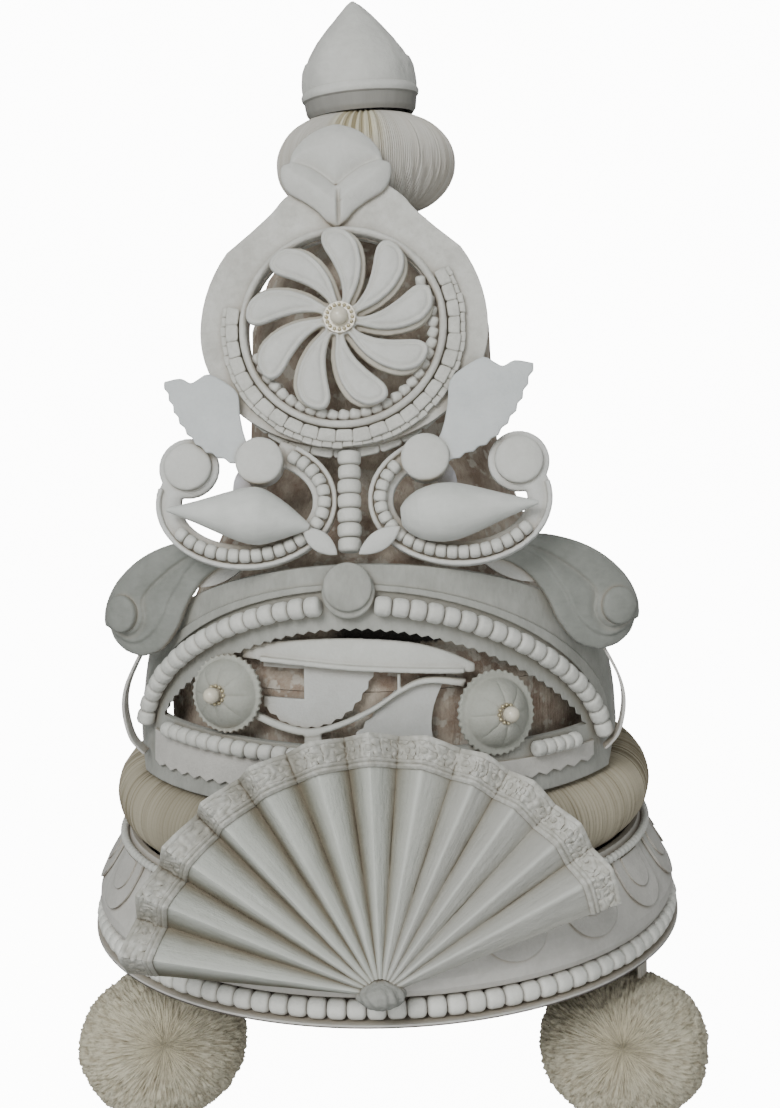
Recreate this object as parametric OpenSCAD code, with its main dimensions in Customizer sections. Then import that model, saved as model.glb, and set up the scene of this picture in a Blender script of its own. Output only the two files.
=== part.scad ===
// A groom's wedding crown: white pith and paper ornament glued on a card crown.
// Front is -Y, up is +Z, and the origin is the middle of the head opening, where the head's band sits.

/* [Head ring] */
// Inner radius of the head ring
head_r = 93; // [92:0.5:93.5]
// Thickness of the card walls
card_t = 3; // [2:0.5:3]
// Height of the head ring
drum_h = 118; // [112:1:120]
// How far the rim hangs below the head seat
rim_drop = 3; // [1:0.5:3]

/* [Base band] */
// Outer radius of the crown at the rim beads
rim_r = 135; // [134:0.5:137]
// Number of beads round the rim
rim_beads_n = 104; // [102:2:106]
// Height of the flared band
band_h = 44.2; // [43.8:0.1:44.4]
// Number of scallops round the band
scallops_n = 20; // [16:1:20]

/* [Pleated ring] */
// Radius of the middle of the paper ring
ring_r = 105; // [104.5:0.5:105.5]
// Height of the middle of the paper ring
ring_z = 57; // [57:0.1:57.3]
// Number of pleats round the paper ring
ring_pleats = 84; // [60:2:90]

/* [Fan] */
// Length of the pleats of the fan
fan_r = 98; // [80:1:100]
// Number of pleats of the fan
fan_pleats = 12; // [8:1:14]
// How far the fan leans back, in degrees
fan_lean = 10; // [6:0.5:11]

/* [Arch panel] */
// Height of the top of the arch
arch_top = 170; // [168:0.5:170]
// Half width of the arch
arch_half_w = 105; // [104:0.5:105.5]
// Radius of the beads on the arch
arch_bead_r = 3.9; // [3.7:0.1:4]

/* [Front panel] */
// How far the upper panel leans back, in degrees
panel_lean = 17; // [16.5:0.5:17.5]
// Radius of the medallion's opening
medallion_r = 38.6; // [38.2:0.1:39]
// Number of petals in the medallion
petals_n = 9; // [7:1:10]

/* [Top] */
// Radius of the paper ball
ball_r = 39.5; // [38:0.5:39.5]
// Radius of the cap on top
cap_r = 22.8; // [22:0.2:23]

/* [Pompoms] */
// Radius of a pompom
pompom_r = 37.2; // [34:0.1:38]

/* [Hidden] */

// Clearance between pieces that are glued face to face
gap = 0.3;
pith = "#e9e8e2";
pith_shade = "#dcdad2";
cream = "#d8cfb6";
card = "#cfc4ae";
pearl = "#efeade";

// Smooth curve through points, n steps to a stretch
function spline(p, n = 4) = [for (i = [0 : len(p) - 2]) for (k = [0 : n - 1])
    let (t = k / n, a = p[max(i - 1, 0)], b = p[i], c = p[i + 1], d = p[min(i + 2, len(p) - 1)])
    0.5 * (2 * b + (c - a) * t + (2 * a - 5 * b + 4 * c - d) * t * t
        + (3 * b - a - 3 * c + d) * t * t * t), p[len(p) - 1]];
// Distance along a path at each of its points
function path_len(p) = [for (i = 0, s = 0; i < len(p);
    s = s + (i + 1 < len(p) ? norm(p[i + 1] - p[i]) : 0), i = i + 1) s];
// The point at a distance along a path
function at_len(p, s, d) = [for (k = [0 : len(p[0]) - 1])
    lookup(d, [for (i = [0 : len(p) - 1]) [s[i], p[i][k]]])];
// Pinked edge: points every pitch along a path, each second one moved aside by depth
function pinked(p, pitch, depth) =
    let (s = path_len(p), total = s[len(s) - 1], n = 2 * round(total / pitch / 2))
    [for (i = [0 : n]) let (q = at_len(p, s, total * i / n),
        a = at_len(p, s, max(0, total * i / n - 0.5)), b = at_len(p, s, min(total, total * i / n + 0.5)),
        v = (b - a) / norm(b - a))
        q + (i % 2) * depth * [-v[1], v[0]]];
function reversed(p) = [for (i = [len(p) - 1 : -1 : 0]) p[i]];
// Leaf with two pointed ends, from a to b, with half width h
function leaf_edge(a, b, h, n = 10) = let (d = b - a, v = [-d[1], d[0]] / norm(d))
    [for (i = [0 : n]) let (t = i / n) a + d * t + v * h * pow(sin(180 * t), 0.8)];

// A row of beads rolled from one cord, along a path
module bead_row(path, pitch, r) {
    s = path_len(path);
    total = s[len(s) - 1];
    n = ceil(total / pitch);
    for (i = [0 : n])
        let (d = total * i / n,
            v = at_len(path, s, min(total, d + 0.5)) - at_len(path, s, max(0, d - 0.5)))
            translate(at_len(path, s, d))
                rotate([0, acos(v[2] / norm(v)), atan2(v[1], v[0])]) sphere(r = r, $fn = 24);
}
module both_sides() {
    children();
    mirror([1, 0, 0]) children();
}

// HEAD RING AND CORE
drum_r = head_r + card_t;
module head_drum() color(cream)
    difference() {
        translate([0, 0, -rim_drop]) cylinder(r = drum_r, h = drum_h + rim_drop, $fn = 96);
        translate([0, 0, -rim_drop - 1]) cylinder(r = head_r, h = drum_h + rim_drop + 2, $fn = 96);
    }

// Sections of the core: radius, height
core_rows = [[drum_r, drum_h + gap], [76, 160], [66, 180], [56, 208], [54, 236], [53, 262],
    [45, 284], [30, 304], [26, 309.8]];
core_top = len(core_rows) - 1;
module core() color(card)
    rotate_extrude($fn = 96)
        polygon(concat(core_rows, [[0, core_rows[core_top][1]], [0, core_rows[core_top][1] - card_t]],
            [for (i = [core_top : -1 : 0])
                core_rows[i] - (i == core_top ? [card_t + 1, card_t] : [card_t, 0])]));

// BASE BAND
rim_bead_r = 4.2;
floor_t = 1.4;
floor_z = -gap - floor_t;
rim_bead_path_r = rim_r - rim_bead_r;
band_t = 2.5;
// Outside of the flared band: radius, height above the rim
band_rows = [[rim_bead_path_r - rim_bead_r - gap, 8], [131.6, 9.2], [133, 12], [132.6, 16], [129.6, 22.4],
    [125, 29.6], [121.2, 35.6], [118.6, 41], [117.6, band_h]];
band_top = len(band_rows) - 1;
function band_outside(z) = lookup(z, [for (q = band_rows) [q[1], q[0]]]);
module at_rim() translate([0, 0, -rim_drop]) children();
module base_band() color(pith_shade) at_rim()
    rotate_extrude($fn = 120)
        polygon(concat(
            [[head_r, floor_z], [rim_r + 0.4, floor_z], [rim_r + 0.4, -gap], [band_rows[0][0], -gap]],
            band_rows, [for (i = [band_top : -1 : 1]) band_rows[i] - [band_t, i == 1 ? -1.4 : 0]],
            [[band_rows[0][0] - band_t, 9], [band_rows[0][0] - band_t, -gap], [head_r, -gap]]));

module rim_beads() color(pith) at_rim()
    for (i = [0 : rim_beads_n - 1])
        rotate([0, 0, 360 * i / rim_beads_n])
            translate([rim_bead_path_r, 0, rim_bead_r]) sphere(r = rim_bead_r, $fn = 24);

cord_r = 1.8;
cord_z = 41.4;
module band_cord() color(pith) at_rim()
    translate([0, 0, cord_z])
        rotate_extrude($fn = 120)
            translate([band_outside(cord_z) + cord_r + 0.4, 0]) circle(r = cord_r, $fn = 24);

// Petals of a scallop: half width, height, how far each stands off the band
scallop_rows = [[14.5, 21, 1.2], [8.5, 13, 2]];
scallop_top = cord_z - cord_r - 0.4;
module scallop_face(w, h, n = 20)
    polygon([for (i = [0 : n]) let (a = 180 + 180 * i / n)
        [w * cos(a), scallop_top - h + h * 0.5 * (1 + sin(a))],
        [w, scallop_top], [-w, scallop_top]]);
module band_skin(from, to)
    rotate_extrude($fn = 120)
        polygon(concat([for (i = [2 : band_top]) band_rows[i] + [from, 0]],
            [for (i = [band_top : -1 : 2]) band_rows[i] + [to, 0]]));
module band_scallops() color(pith) at_rim()
    for (k = [0 : scallops_n - 1])
        rotate([0, 0, 360 * (k + 0.5) / scallops_n])
            for (q = scallop_rows)
                intersection() {
                    band_skin(gap, gap + q[2]);
                    rotate([90, 0, 0]) linear_extrude(height = rim_r + 5) scallop_face(q[0], q[1]);
                }

// PLEATED PAPER RING
ring_half_w = 17.6;
ring_half_h = 18;
ring_back = 96.6;
ring_steps = 8;
ring_valley = 0.94;
ring_cols = 2 * ring_pleats;
function pleat(i, valley) = i % 2 == 0 ? 1 : valley;
function ring_point(i, j) = let (back = j == 0 || j == ring_steps, k = pleat(i, ring_valley),
    a0 = acos((ring_back - ring_r) / ring_half_w),
    a = -a0 + 2 * a0 * j / ring_steps, b = 360 * i / ring_cols,
    r = back ? ring_back : ring_r + ring_half_w * k * cos(a),
    z = ring_z + ring_half_h * (back ? 0.9 : k) * sin(a))
    [r * cos(b), r * sin(b), z];
module pleated_ring() color(cream)
    polyhedron(points = [for (i = [0 : ring_cols - 1]) for (j = [0 : ring_steps]) ring_point(i, j)],
        faces = [for (i = [0 : ring_cols - 1]) for (j = [0 : ring_steps])
            let (n = ring_steps + 1, a = i * n, b = (i + 1) % ring_cols * n, k = (j + 1) % n)
            for (f = [[a + j, a + k, b + k], [a + j, b + k, b + j]]) f]);

// FAN
fan_turn = 2.6;
fan_y = -142.9;
fan_z = 13;
knot_r = 10;
knot_half_h = 5.9;
fan_from = knot_r + 0.6;
fan_start = 19.5;
fan_end = 174.5;
fan_depth = 5.2;
fan_t = 1;
lace_w = 11;
module at_fan()
    rotate([0, 0, fan_turn]) translate([0, fan_y, fan_z]) rotate([90 - fan_lean, 0, 0]) children();
// Pleated sheet between two radii, lifted off the middle plane
function fan_angle(i) =
    fan_start + (fan_end - fan_start) * (floor(i / 2) + (i % 2) * 0.58) / fan_pleats;
function fan_fold(i, r) = (i % 2 == 0 ? -1 : 1) * fan_depth * (0.12 + 0.88 * r / fan_r);
module fan_sheet(r1, r2, lift, t) {
    n = 2 * fan_pleats;
    pts = [for (i = [0 : n]) for (q = [[r1, lift], [r2, lift], [r2, lift + t], [r1, lift + t]])
        [q[0] * cos(fan_angle(i)), q[0] * sin(fan_angle(i)), fan_fold(i, q[0]) + q[1]]];
    polyhedron(points = pts, faces = concat([[0, 1, 2, 3]],
        [for (i = [0 : n - 1]) for (k = [0 : 3]) let (a = 4 * i + k, b = 4 * i + (k + 1) % 4)
            for (f = [[a, a + 4, b + 4], [a, b + 4, b]]) f],
        [[4 * n + 3, 4 * n + 2, 4 * n + 1, 4 * n]]));
}
module fan() color(pith) at_fan() fan_sheet(fan_from, fan_r, 0, fan_t);
module fan_lace() color(pith_shade) at_fan() fan_sheet(fan_r - lace_w, fan_r + 0.6, fan_t + gap, 0.8);
module fan_knot() color(pith)
    at_fan() rotate([-90, 0, 0])
        rotate_extrude($fn = 48)
            polygon(concat([[0, -knot_half_h]], [for (a = [-70 : 20 : 70])
                [knot_r * (0.7 + 0.3 * cos(a)), knot_half_h * sin(a)]], [[0, knot_half_h]]));

// ARCH PANEL
arch_r = 112;
arch_foot = 74.6;
arch_shoulder = 90;
arch_foot_ref = 82;
arch_slope = 0.155;
arch_back = 3;
bead_half_w = 98;
bead_foot = 92;
bead_rise = 63;
eye_top = 145.4;
// Each half of the eye: half width, foot height, fullness
eye_left = [88, 100, 0.8];
eye_right = [91.6, 94.3, 0.72];
// How much the arch's lines drop from left to right, for each mm across
arch_tilt = 0.036;
rosette_z = 161;
rosette_x = -4.4;
rosette_r = 10.4;
// Where each row of beads starts beside the rosette, in degrees round the arch
arch_beads_left = 11;
arch_beads_right = 5.2;
bead_steps = 26;
function cone_r(z) = arch_r - arch_slope * (z - arch_foot_ref);
// Conical shell between two distances from the arch's outer face
module arch_shell(from, to, z1 = 74, z2 = 176)
    rotate_extrude($fn = 144)
        polygon([[cone_r(z1) + from, z1], [cone_r(z1) + to, z1],
            [cone_r(z2) + to, z2], [cone_r(z2) + from, z2]]);
// What a flat outline cuts out of that shell at the front
module arch_piece(from, to) intersection() {
    arch_shell(from, to);
    rotate([90, 0, 0]) linear_extrude(height = rim_r) children();
}
// Arched line: half width, foot height, rise and fullness, between two angles from its middle
function arched(w, foot, rise, full, from = -90, to = 90, n = 40) =
    [for (i = [0 : n]) let (t = from + (to - from) * i / n)
        [w * sin(t), foot + rise * pow(max(cos(t), 0), 2 * full) - arch_tilt * w * sin(t)]];
function half_eye(q, from, to) = arched(q[0], q[1], eye_top - q[1], q[2], from, to, 20);
function sill_line(x) = sill_bead_z - arch_tilt * x;
// A point of the arch's front, lifted off it
function on_arch(q, lift) = let (r = cone_r(q[1]) + lift) [q[0], -sqrt(r * r - q[0] * q[0]), q[1]];
module arch_panel() color(pith) {
    outer = [for (q = arched(arch_half_w, arch_shoulder, arch_top - arch_shoulder, 0.36))
        q + [0, arch_tilt * q[0]]];
    eye = concat(half_eye(eye_left, -90, -1), half_eye(eye_right, 1, 90));
    arch_piece(-arch_back, 0)
        difference() {
            polygon(concat([[-arch_half_w + 5, arch_foot]], outer, [[arch_half_w - 5, arch_foot]]));
            difference() {
                polygon(concat(pinked(eye, 2.4, -1.1),
                    [[eye_right[0], arch_foot], [-eye_left[0], arch_foot]]));
                polygon(concat([for (x = [-93 : 6 : 93]) [x, sill_line(x) + sill_bead_r]],
                    [[93, arch_foot - 1], [-93, arch_foot - 1]]));
            }
        }
    arch_piece(-1, 1.6)
        difference() {
            polygon(arched(bead_half_w + 3.4, bead_foot + 5, bead_rise + 2.6, 0.56));
            polygon(arched(bead_half_w + 0.8, bead_foot + 3, bead_rise + 2.4, 0.58));
        }
}
module arch_beads() color(pith) {
    lift = arch_bead_r + gap;
    for (s = [[-1, arch_beads_left], [1, arch_beads_right]])
        bead_row([for (k = [0 : bead_steps]) let (t = s[1] + (84 - s[1]) * k / bead_steps)
            let (x = s[0] * bead_half_w * sin(t))
            on_arch([x, bead_foot + bead_rise * pow(cos(t), 1.2) - arch_tilt * x], lift)],
            7.2, arch_bead_r);
}
sill_bead_r = 3.3;
sill_bead_z = 95.3;
module sill_beads() color(pith)
    // The row stops behind the right boss, which stands in front of the sill
    for (s = [[-84, 33], [69, 84]])
        bead_row([for (x = [s[0] : 3 : s[1]]) on_arch([x, sill_line(x)], sill_bead_r + gap)],
            6.3, sill_bead_r);
flange_low = 82.6;
module sill_flange() color(pith)
    arch_piece(gap, gap + 1.2)
        polygon(concat(pinked([for (x = [-93 : 6 : 93]) [x, flange_low]], 3, -1.6),
            [for (x = [93 : -6 : -93]) [x, sill_line(x) - sill_bead_r - gap]]));

module at_arch(x, z, lift, turn = 1)
    translate(on_arch([x, z], 0))
        rotate([0, 0, turn * asin(x / cone_r(z))])
            rotate([90 - atan(arch_slope), 0, 0]) translate([0, 0, lift]) children();
module arch_rosette() color(pith)
    at_arch(rosette_x, rosette_z, 0) {
        translate([0, -1.6, 2.1]) cylinder(r = rosette_r, h = 2.4, $fn = 64);
        translate([0, 0.4, 4]) cylinder(r = rosette_r - 0.8, h = 2.6, $fn = 64);
    }

// INSIDE THE EYE
eye_skin = arch_back + gap;
bar_low_rows = [[-50, 131.2], [-26, 130.2], [-8, 128.8], [15, 127.2], [44, 124.8]];
bar_high_rows = [[-50, 137], [-27, 139.6], [-5, 140.6], [18, 138.6], [33, 134], [44, 128]];
bar_lip = [-43, 40];
module crossbar() color(pith) {
    bar_low = spline(bar_low_rows, 5);
    lip = [for (q = bar_low) if (q[0] > bar_lip[0] && q[0] < bar_lip[1]) q];
    arch_piece(-eye_skin - 2, -eye_skin) polygon(concat(bar_low, reversed(spline(bar_high_rows, 4))));
    arch_piece(-eye_skin - 1.5, -eye_skin + 2.2)
        polygon(concat(lip, [for (q = reversed(lip)) q + [0, 2]]));
}
vine_half_w = 1.3;
// Middle of the vine: x, z
vine_rows = [[-46, 109.5], [-34, 105.4], [-22, 103.6], [-9, 107], [4, 113], [14, 119.4], [22, 122.8],
    [30, 123], [40, 120.8]];
vine_lift = -eye_skin;
vine_t = 2.6;
module vine() color(pith) {
    mid = spline(vine_rows, 3);
    arch_piece(vine_lift - vine_t, vine_lift)
        polygon(concat([for (q = mid) q + [0.5, vine_half_w]],
            [for (q = reversed(mid)) q - [0.5, vine_half_w]]));
    arch_piece(vine_lift - vine_t + 0.4, vine_lift - 0.4) translate([-24, 97]) square([7, 6.6]);
    arch_piece(vine_lift - vine_t + 0.4, vine_lift - 0.4) translate([13.4, 119.4]) square([1.3, 7.4]);
}
leaf_lift = vine_lift - vine_t - gap;
module vine_leaf_left() color(pith)
    arch_piece(leaf_lift - 1.2, leaf_lift)
        difference() {
            polygon(concat([[-41, 122], [-41, 112]],
                pinked(spline([[-40, 112], [-31, 106.4], [-20, 105.6], [-9, 110], [-1, 118], [4, 128]], 4),
                    2.6, -1.1), [[5, 131.6], [-41, 131.6]]));
            translate([-43, 116]) square([19, 12]);
        }
module vine_leaf_right() color(pith)
    arch_piece(leaf_lift - 1.2, leaf_lift)
        polygon(concat([[-5, 96]],
            pinked(spline([[-4, 101], [3, 109], [10, 117], [20, 120.5], [31, 121.4]], 4), 2.6, 1.1),
            reversed(spline([[28, 96], [26.4, 104], [27.6, 113], [31, 121]], 4))));
// Middle of each boss: x, z
boss_left_at = [-55.4, 117.4];
boss_right_at = [51.4, 109];
boss_left_r = 16.2;
boss_right_r = 17.4;
boss_dome_r = 14;
boss_rise = 9;
module boss(disc_r) {
    linear_extrude(height = 2) polygon([for (i = [0 : 71]) let (r = disc_r - (i % 2) * 1.1)
        [r * cos(5 * i), r * sin(5 * i)]]);
    difference() {
        intersection() {
            translate([0, 0, 2 - (pow(boss_dome_r, 2) - pow(boss_rise, 2)) / (2 * boss_rise)])
                sphere(r = (pow(boss_dome_r, 2) + pow(boss_rise, 2)) / (2 * boss_rise), $fn = 64);
            translate([0, 0, 1]) cylinder(r = boss_dome_r, h = boss_rise + 2, $fn = 64);
        }
        for (i = [0 : 7])
            rotate([0, 0, 45 * i]) translate([4.6, -0.35, 3.4]) cube([boss_dome_r, 0.7, boss_rise]);
        translate([0, 0, 2 + boss_rise - 1]) cylinder(r = 4.2, h = 3, $fn = 32);
    }
}
boss_lift = 0.4;
// Share of the arch's own turn that the left boss follows
boss_left_turn = 0.66;
pearl_r = 3.2;
module at_boss(q, turn = 1) at_arch(q[0], q[1], boss_lift, turn) children();
module boss_left() color(pith) at_boss(boss_left_at, boss_left_turn) boss(boss_left_r);
module boss_right() color(pith) at_boss(boss_right_at) boss(boss_right_r);
module boss_pearl() translate([0, 0, 1 + boss_rise + pearl_r + gap]) {
    sphere(r = pearl_r, $fn = 32);
    translate([0, 0, -pearl_r]) cylinder(r = 2, h = pearl_r, $fn = 24);
}
module boss_pearl_left() color(pearl) at_boss(boss_left_at, boss_left_turn) boss_pearl();
module boss_pearl_right() color(pearl) at_boss(boss_right_at) boss_pearl();

// WINGS
wing_x = 38;
wing_y = -88.9;
wing_z = 165;
wing_lean = 8;
wing_yaw = 27;
wing_t = 2.6;
wing_step = 1.5;
module at_wing()
    translate([wing_x, wing_y, wing_z]) rotate([0, 0, wing_yaw]) rotate([90 - wing_lean, 0, 0]) children();
// Outer edge of the wing from its root round the scroll: along, up
wing_outer = [[9, 8.5], [20, 11.4], [34, 12.6], [46, 10.2], [57, 6], [66, 0.4], [74, -7.4], [78.6, -16],
    [79.4, -23.6], [76.6, -31], [69.6, -36], [61, -37.6]];
wing_inner = [[61, -37.6], [50.5, -33.6], [43, -24], [39.6, -16], [35.4, -9], [29.6, -2.6], [21, 2.6],
    [9, 5]];
wing_line_two = [[10, 7], [26.5, 7.2], [36.6, 1.2], [41.6, -6], [46, -12.4], [49, -20],
    [54.6, -27.4], [61.6, -31.4], [68, -31.6], [75, -28.6]];
wing_line_one = [[12, 8.2], [24, 9], [33.4, 7], [41.4, 3], [49.8, -2.8], [57.6, -9.8],
    [60.2, -14.6], [58.6, -20.4], [61, -26], [67, -28.8], [74, -26.4]];
module wing_layer(line) {
    edge = spline(wing_outer, 3);
    polygon(concat([for (q = edge) if (q[1] > line[len(line) - 1][1] || q[0] < 60) q],
        reversed(spline(line, 3))));
}
module wing() at_wing() {
    linear_extrude(height = wing_t) polygon(concat(spline(wing_outer, 3), spline(wing_inner, 3)));
    linear_extrude(height = wing_t + wing_step) wing_layer(wing_line_two);
    linear_extrude(height = wing_t + 2 * wing_step) wing_layer(wing_line_one);
}
wing_disc = [68.4, -20];
wing_disc_r = 7.8;
module wing_disc() at_wing() translate([wing_disc[0], wing_disc[1], wing_t + 2 * wing_step + gap])
    cylinder(r = wing_disc_r, h = 3, $fn = 48);
module wing_leaf() at_wing() translate([0, 0, -gap - 1.2]) linear_extrude(height = 1.2)
    polygon(concat(leaf_edge([10, 5], [38, -7], 3.6), reversed(leaf_edge([10, 5], [38, -7], -3.6))));
module wing_right() color(pith) wing();
module wing_left() color(pith) mirror([1, 0, 0]) wing();
module wing_disc_right() color(pith) wing_disc();
module wing_disc_left() color(pith) mirror([1, 0, 0]) wing_disc();
module wing_leaf_right() color(pith) wing_leaf();
module wing_leaf_left() color(pith) mirror([1, 0, 0]) wing_leaf();
// Thin stay from the scroll down to the arch's end
stay_line = [[97.6, 129], [101.4, 122], [104.8, 114.6], [106.4, 107], [106, 99], [103.6, 90.6],
    [98.6, 84.8]];
stay_t = 1.3;
stay_from = -56;
stay_w = 8;
module side_stay()
    translate([0, stay_from, 0]) rotate([90, 0, 0]) linear_extrude(height = stay_w)
        polygon(concat(spline(stay_line, 4), reversed([for (q = spline(stay_line, 4)) q - [stay_t, 0]])));
module side_stays() color(pith) both_sides() side_stay();

// FRONT PANEL
panel_x = -3;
panel_y = -92;
panel_z = 168;
plate_t = 3;
module at_panel(side = 1)
    translate([panel_x, panel_y, panel_z]) rotate([90 - panel_lean, 0, 0])
        if (side > 0) children(); else mirror([1, 0, 0]) children();
loop_mid = [42.5, 26.3];
loop_a = 36.5;
loop_b = 27;
loop_w = 10;
loop_from = 112;
loop_to = 404;
lip_w = 2.2;
// Middle of the inner disc: x, y on the right panel, then on the left
inner_right = [29.2, 41.6];
inner_left = [36.4, 41.6];
dentil_t = 3.6;
seat_h = plate_t + gap + dentil_t;
inner_disc_r = 9.5;
outer_disc_at = [66, 41];
outer_disc_r = 9.6;
function loop_edge(inset, from, to, n = 40) = [for (i = [0 : n]) let (t = from + (to - from) * i / n)
    loop_mid + [(loop_a - inset) * cos(t), (loop_b - inset) * sin(t)]];
module bird_loop(inner_at) {
    linear_extrude(height = plate_t) {
        polygon(concat(loop_edge(0, loop_from, loop_to), reversed(loop_edge(loop_w, loop_from, loop_to))));
        translate(outer_disc_at) circle(r = outer_disc_r + 2.6, $fn = 48);
    }
    translate(inner_at) cylinder(r = inner_disc_r - 0.8, h = seat_h, $fn = 48);
    linear_extrude(height = plate_t + 2)
        polygon(concat(loop_edge(0, loop_from + 12, loop_to - 30),
            reversed(loop_edge(lip_w, loop_from + 12, loop_to - 30))));
}
bird_bead_r = 2.6;
bead_inset = 5.1;
// Where each row of beads starts beside its inner disc, in degrees round the loop
bird_row_right = 145;
bird_row_left = 128;
module bird_beads(from)
    bead_row([for (q = loop_edge(bead_inset, from, 324)) [q[0], q[1], plate_t + gap + bird_bead_r]],
        4.7, bird_bead_r);
disc_t = 3;
leaf_t = 1.4;
module inner_disc(q) translate([q[0], q[1], seat_h + 2 * gap + leaf_t])
    cylinder(r = inner_disc_r, h = disc_t, $fn = 48);
module outer_disc() translate([outer_disc_at[0], outer_disc_at[1], plate_t + gap])
    cylinder(r = outer_disc_r, h = disc_t, $fn = 48);
// Rolled spindle: distance along it, radius
spindle_rows = [[0, 3.6], [2.2, 6.4], [7, 9.6], [13, 11.2], [18, 11.5], [24, 10.6], [32, 8], [42, 4.4],
    [53.5, 0.8]];
spindle_at = [19.6, 18, plate_t + 7.6];
spindle_tip = 5;
module spindle() translate(spindle_at) rotate([0, 0, spindle_tip]) rotate([0, 90, 0])
    rotate_extrude($fn = 48) polygon(concat([[0, 0]], [for (q = spline(spindle_rows, 2)) [q[1], q[0]]],
        [[0, 53.5]]));
// Small leaf behind the inner disc, and a leaf at the foot of each loop
module flat_leaf(a, b, h) linear_extrude(height = leaf_t)
    polygon(concat(leaf_edge(a, b, h), reversed(leaf_edge(a, b, -h))));
module crest_leaf(q) translate([0, 0, -gap - leaf_t]) flat_leaf(q + [12, -11.6], q + [2, 3], 4);
base_root_right = [2.6, 3.6];
base_root_left = [5.6, 3.6];
module base_leaf(q) translate([0, 0, plate_t + 2 * gap + 2 * bird_bead_r]) flat_leaf(q, [19.4, 14.4], 4);
// Tail leaf from the middle of its disc: smooth inner edge, notched tip, pinked outer edge
tail_inner = [[1, 0], [6.4, 10.4], [9, 21.4], [10, 31], [15.4, 36.4], [23.4, 40.6], [28, 38.4],
    [31.4, 36.8], [36, 39], [43.4, 37.6]];
tail_outer = [[43.4, 37.6], [39.6, 27.8], [34.8, 17.8], [26.6, 7.8], [16, 2], [5, -2.6]];
tail_left_size = 0.9;
module tail_leaf(q, size = 1) translate([q[0], q[1], seat_h + gap]) linear_extrude(height = leaf_t)
    polygon(size * concat(spline(tail_inner, 3), pinked(spline(tail_outer, 4), 3, 1)));
module bird_loop_right() color(pith) at_panel() bird_loop(inner_right);
module bird_loop_left() color(pith) at_panel(-1) bird_loop(inner_left);
module bird_beads_right() color(pith) at_panel() bird_beads(bird_row_right);
module bird_beads_left() color(pith) at_panel(-1) bird_beads(bird_row_left);
module inner_disc_right() color(pith) at_panel() inner_disc(inner_right);
module inner_disc_left() color(pith) at_panel(-1) inner_disc(inner_left);
module outer_disc_right() color(pith) at_panel() outer_disc();
module outer_disc_left() color(pith) at_panel(-1) outer_disc();
module spindle_right() color(pith) at_panel() spindle();
module spindle_left() color(pith) at_panel(-1) spindle();
module crest_leaves() color(pith_shade) {
    at_panel() crest_leaf(inner_right);
    at_panel(-1) crest_leaf(inner_left);
}
module base_leaves() color(pith) {
    at_panel() base_leaf(base_root_right);
    at_panel(-1) base_leaf(base_root_left);
}
module tail_leaf_right() color(pith) at_panel() tail_leaf(inner_right);
module tail_leaf_left() color(pith) at_panel(-1) tail_leaf(inner_left, tail_left_size);

column_r = 4.5;
column_beads = 7;
column_x = -1.2;
column_low = 3.6;
column_high = 47.6;
module bead_column() color(pith) at_panel()
    for (i = [0 : column_beads - 1])
        translate([column_x, column_low + column_r + (column_high - column_low - 2 * column_r)
            * i / (column_beads - 1), column_r])
            rotate([90, 0, 0]) sphere(r = column_r, $fn = 32);

// MEDALLION
medal_at = [-3.4, 97];
plate_wide = 58.5;
plate_low = 49;
neck_top = 178;
// Right edge of the neck: x, y from the middle of the medallion
neck_rows = [[38, 42], [29.5, 50], [24.5, 56], [17, 62], [13, 68], [12, neck_top - medal_at[1]]];
module at_medal(lift = 0) at_panel() translate([medal_at[0], medal_at[1], lift]) children();
module medallion_plate() color(pith) {
    rim_edge = [for (t = [145 : 5 : 395])
        [plate_wide * cos(t), (sin(t) < 0 ? plate_low : plate_wide) * sin(t)]];
    neck = spline(neck_rows, 3);
    at_medal() linear_extrude(height = plate_t)
        difference() {
            polygon(concat(rim_edge, neck, reversed([for (q = neck) [-q[0], q[1]]])));
            circle(r = medallion_r, $fn = 96);
        }
}
module ring_band(r1, r2, h) difference() {
    cylinder(r = r2, h = h, $fn = 96);
    translate([0, 0, -1]) cylinder(r = r1, h = h + 2, $fn = 96);
}
medal_bead_r = 2.1;
medal_beads_n = 34;
medal_beads_from = 200;
medal_beads_turn = 190;
ring_h = 4;
module medallion_ring() color(pith) {
    at_medal(plate_t + gap) ring_band(medallion_r + 0.3, medallion_r + 3.4, ring_h);
}
module medallion_beads() color(pith) at_medal(plate_t + gap)
    for (i = [0 : medal_beads_n - 1])
        rotate([0, 0, medal_beads_from + medal_beads_turn * i / (medal_beads_n - 1)])
            translate([medallion_r - medal_bead_r, 0, medal_bead_r]) sphere(r = medal_bead_r, $fn = 24);
dentils_n = 32;
// The dentils leave the top of the medallion bare, between these angles
dentils_bare = [30, 168];
module dentils() color(pith) at_medal(plate_t + gap) {
    difference() {
        ring_band(medallion_r + 3.8, medallion_r + 10.8, dentil_t);
        for (i = [0 : dentils_n - 1])
            rotate([0, 0, 360 * i / dentils_n]) translate([medallion_r + 4.6, -0.4, 1.4]) cube([9, 0.8, 4]);
        translate([0, 0, -1]) linear_extrude(height = dentil_t + 2)
            polygon([[0, 0], for (a = [dentils_bare[0], 76, 122, dentils_bare[1]]) 80 * [cos(a), sin(a)]]);
    }
}
// Lower row of blocks behind the dentils
fringe_n = 13;
module dentil_fringe() color(pith) at_medal(-gap - 2.4)
    difference() {
        intersection() {
            ring_band(medallion_r + 4, medallion_r + 14.4, 2.4);
            translate([-62, -62, -1]) cube([124, 40, 5]);
        }
        for (i = [0 : fringe_n])
            rotate([0, 0, 201 + 138 * i / fringe_n])
                translate([medallion_r + 10, -0.5, -1]) cube([9, 1, 5]);
    }
flower_at = [medal_at[0] - 0.6, medal_at[1] + 1.6];
module at_flower(lift) at_panel() translate([flower_at[0], flower_at[1], lift]) children();
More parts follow.
